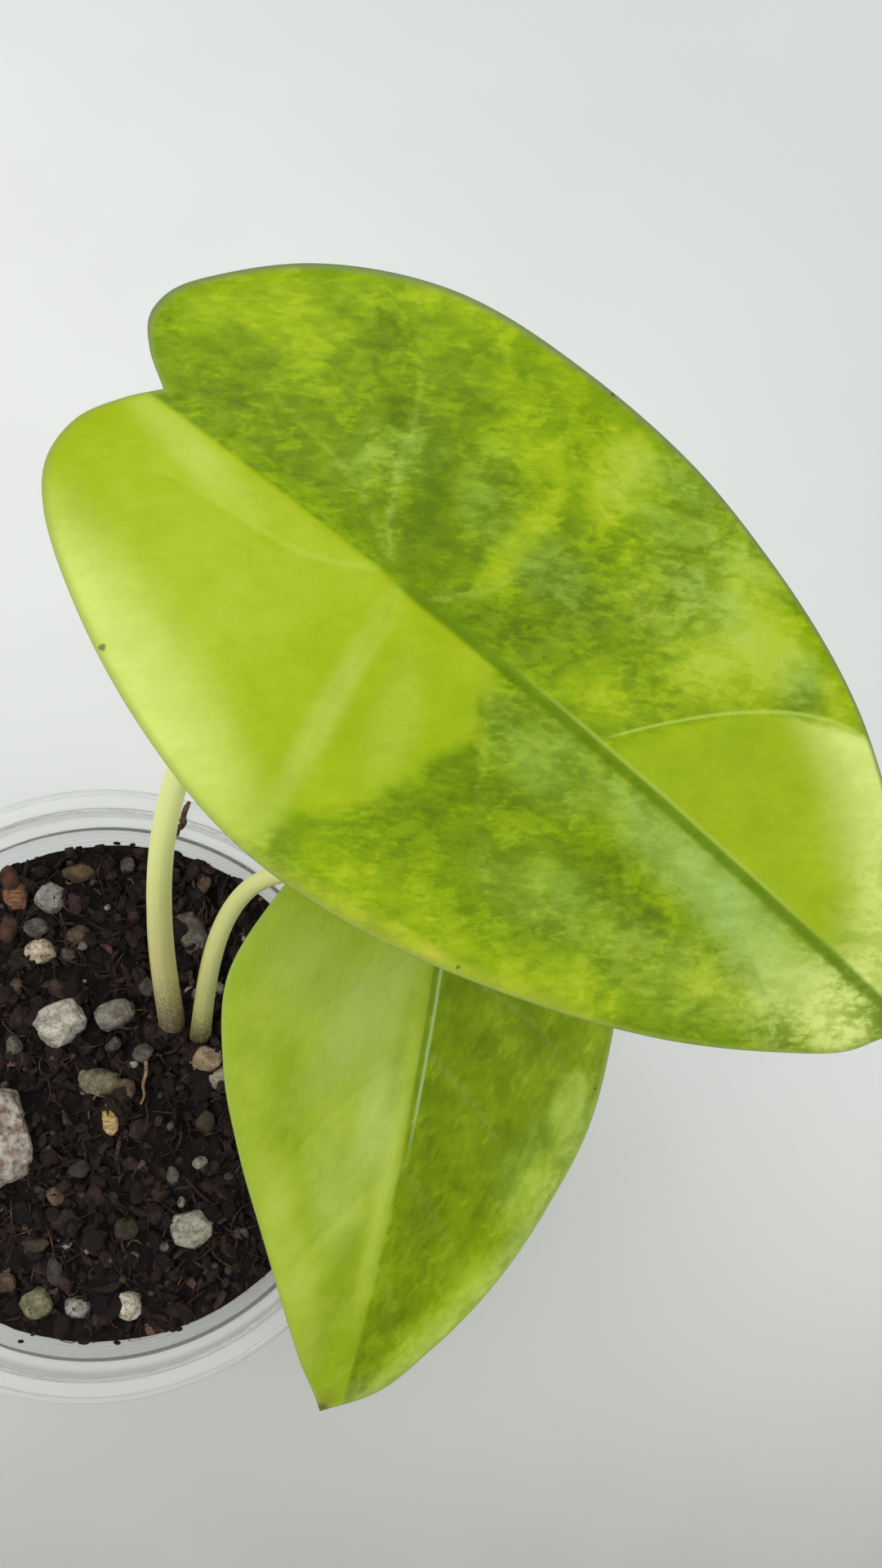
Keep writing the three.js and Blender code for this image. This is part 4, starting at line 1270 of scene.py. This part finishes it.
def stalk_material(name):
    """Stalk skin, browned at the foot, with pale streaks and dry sheath edges."""
    codes = STALK_CODES[name]
    paint = Paint(f"stalk_{name}_skin", 0.45, Specular_IOR_Level=0.3)
    place = paint.place_mm()
    streaks = paint.noise(paint.stretched(place, (2.2, 2.2, 0.1)), 1.6, 4, 0.6)
    spots = paint.noise(place, 1.1, 4, 0.6)
    wander = paint.mark("along") + streaks.eased(0.3, 0.7, -0.03, 0.03)
    colour = wander.eased(0.03, 0.09).blend(codes["base"], codes["foot"])
    colour = wander.eased(0.07, 0.25).blend(colour, codes["low"])
    colour = wander.eased(0.2, 0.5).blend(colour, codes["high"])
    colour = streaks.eased(0.52, 0.72, 0.0, 0.35).blend(colour, codes["streak"])
    colour = spots.eased(0.6, 0.7, 0.0, 0.22).blend(colour, codes["low"])
    paint.connect("Base Color", paint.mark("sheath").blend(colour, codes["sheath"]))
    paint.dent(streaks, 0.12, 0.5)
    return paint.material


def build_stalk(name):
    """A stalk with fine ribs and, low down, the dry edges of its sheath on the left."""
    axes = blade_axes(BLADES[name])
    foot, rise, arch, (low, high) = STALKS[name]
    top = np.array(BLADES[name]["joint"]) - axes[2] * (BLADE_HALF[0] + 0.5)
    u = np.linspace(0, 1, STALK_STEPS + 1)
    path = bezier([foot, rise, arch, top], u)
    radius = low + (high - low) * np.sqrt(u) + STALK_FLARE * np.exp(-(((1 - u) / FLARE_SHARE) ** 2))
    angle = circle(STALK_SIDES)
    points, along, sheath = [], [], []
    for place, forward, share, size in zip(path, headings(path), u, radius):
        left = np.array([-1.0, 0.0, 0.0]) - forward * -forward[0]
        left /= np.linalg.norm(left)
        back = np.cross(forward, left)
        if share > 1 - 2 * FLARE_SHARE:
            turn = smooth(1 - 2 * FLARE_SHARE, 1, share)
            left = left * (1 - turn) - axes[0] * turn
            back = back * (1 - turn) - axes[1] * turn
        wing = np.exp(-(((angle - 0.35) / 0.16) ** 2)) + np.exp(-(((angle - 5.6) / 0.16) ** 2))
        wing = wing * float(smooth(0.42, 0.3, share))
        ribs = 0.035 * np.cos(11 * angle + 2 * share)
        around = size * (1 + ribs * (1 - share) * 0.5) + 0.16 * wing
        outward = np.cos(angle)[:, None] * left + np.sin(angle)[:, None] * back
        points.append(place + around[:, None] * outward)
        along.append(np.full(STALK_SIDES, share))
        sheath.append(np.clip(wing, 0, 1) * 0.85)
    points = np.concatenate([*points, path[:1], path[-1:]])
    marks = {"along": np.r_[np.concatenate(along), 0, 1], "sheath": np.r_[np.concatenate(sheath), 0, 0]}
    faces = closed_faces(STALK_STEPS + 1, STALK_SIDES)
    make_piece(f"petiole_{name}", points, faces, stalk_material(name), [f"stalk_{name}"], marks)


# Stage, light and camera

FLOOR_REACH = 4000
FLOOR_DROP = 0.2
WORLD_STRENGTH = 0.46
# Lights: place and aim in metres, size, power and colour
LIGHTS = {
    "key": ((-0.1, 0.2, 1.35), (0.0, 0.05, 0.05), 1.1, 6.0, (0.99, 1.0, 0.98)),
    "side": ((-0.5, -0.05, 0.8), (0.0, 0.02, 0.12), 0.5, 2.3, (1.0, 0.99, 0.96)),
    "fill": ((0.6, -0.55, 0.8), (0.05, 0.0, 0.1), 0.8, 2.8, (1.0, 0.98, 0.95)),
}


def build_stage():
    """A pale floor with painted shade: darker toward the viewer, and a darker bluish grey to the far right.
    """
    paint = Paint("floor_paint", 0.85, Specular_IOR_Level=0.1)
    place = paint.place_mm()
    x, y, _ = paint.apart(place)
    # Painted shade: the fall of the light across the floor is painted as a darker colour toward the viewer
    # and to the far right.
    colour = y.eased(-160, 50).blend("#999991", "#EEF0EF")
    colour = (x + y).eased(100, 360, 0.0, 0.4).blend(colour, "#BEC5C3")
    colour = paint.noise(place, 0.02, 3).eased(0.3, 0.7, 0.0, 0.12).blend(colour, "#D2D2CE")
    paint.connect("Base Color", colour)
    paint.dent(paint.noise(place, 0.5, 3), 0.05, 0.1)
    mesh = bpy.data.meshes.new("floor")
    reach = FLOOR_REACH * MM
    corners = [(-reach, -reach, 0), (reach, -reach, 0), (reach, reach, 0), (-reach, reach, 0)]
    mesh.from_pydata(corners, [], [(0, 1, 2, 3)])
    mesh.materials.append(paint.material)
    floor = new_object("floor", mesh)
    floor.location.z = -FLOOR_DROP * MM


def build_lights():
    """An even pale world and three round area lights."""
    world = bpy.data.worlds.new("studio")
    world.use_nodes = True
    back = world.node_tree.nodes["Background"]
    back.inputs["Color"].default_value = (0.965, 0.985, 0.98, 1)
    back.inputs["Strength"].default_value = WORLD_STRENGTH
    scene.world = world
    for name, (at, aim, size, power, colour) in LIGHTS.items():
        lamp = bpy.data.lights.new(name, "AREA")
        lamp.shape = "DISK"
        lamp.size = size
        lamp.energy = power
        lamp.color = colour
        light = new_object(name, lamp)
        light.location = at
        light.rotation_mode = "QUATERNION"
        light.rotation_quaternion = (Vector(aim) - Vector(at)).to_track_quat("-Z", "Y")


def build_camera():
    """The camera of the photograph."""
    data = bpy.data.cameras.new("camera")
    data.lens = CAMERA_LENS
    data.sensor_width = 36
    data.sensor_fit = "AUTO"
    data.clip_start = 0.01
    data.clip_end = 20
    camera = new_object("camera", data)
    axes = Matrix((CAMERA_RIGHT, CAMERA_UP, CAMERA_BACK)).transposed()
    camera.matrix_world = Matrix.Translation(Vector(CAMERA_AT) * MM) @ axes.to_4x4()
    scene.camera = camera


scene.view_settings.view_transform = "Standard"
build_camera()
build_stage()
build_lights()
build_cup()
mix = mix_material()
build_soil(mix)
build_crumbs(mix)
build_wall_crumbs(mix)
build_fibres(mix)
build_grit()
build_lumps()
build_corm()
build_root()
for leaf_name in BLADES:
    build_stalk(leaf_name)
    build_blade(leaf_name)
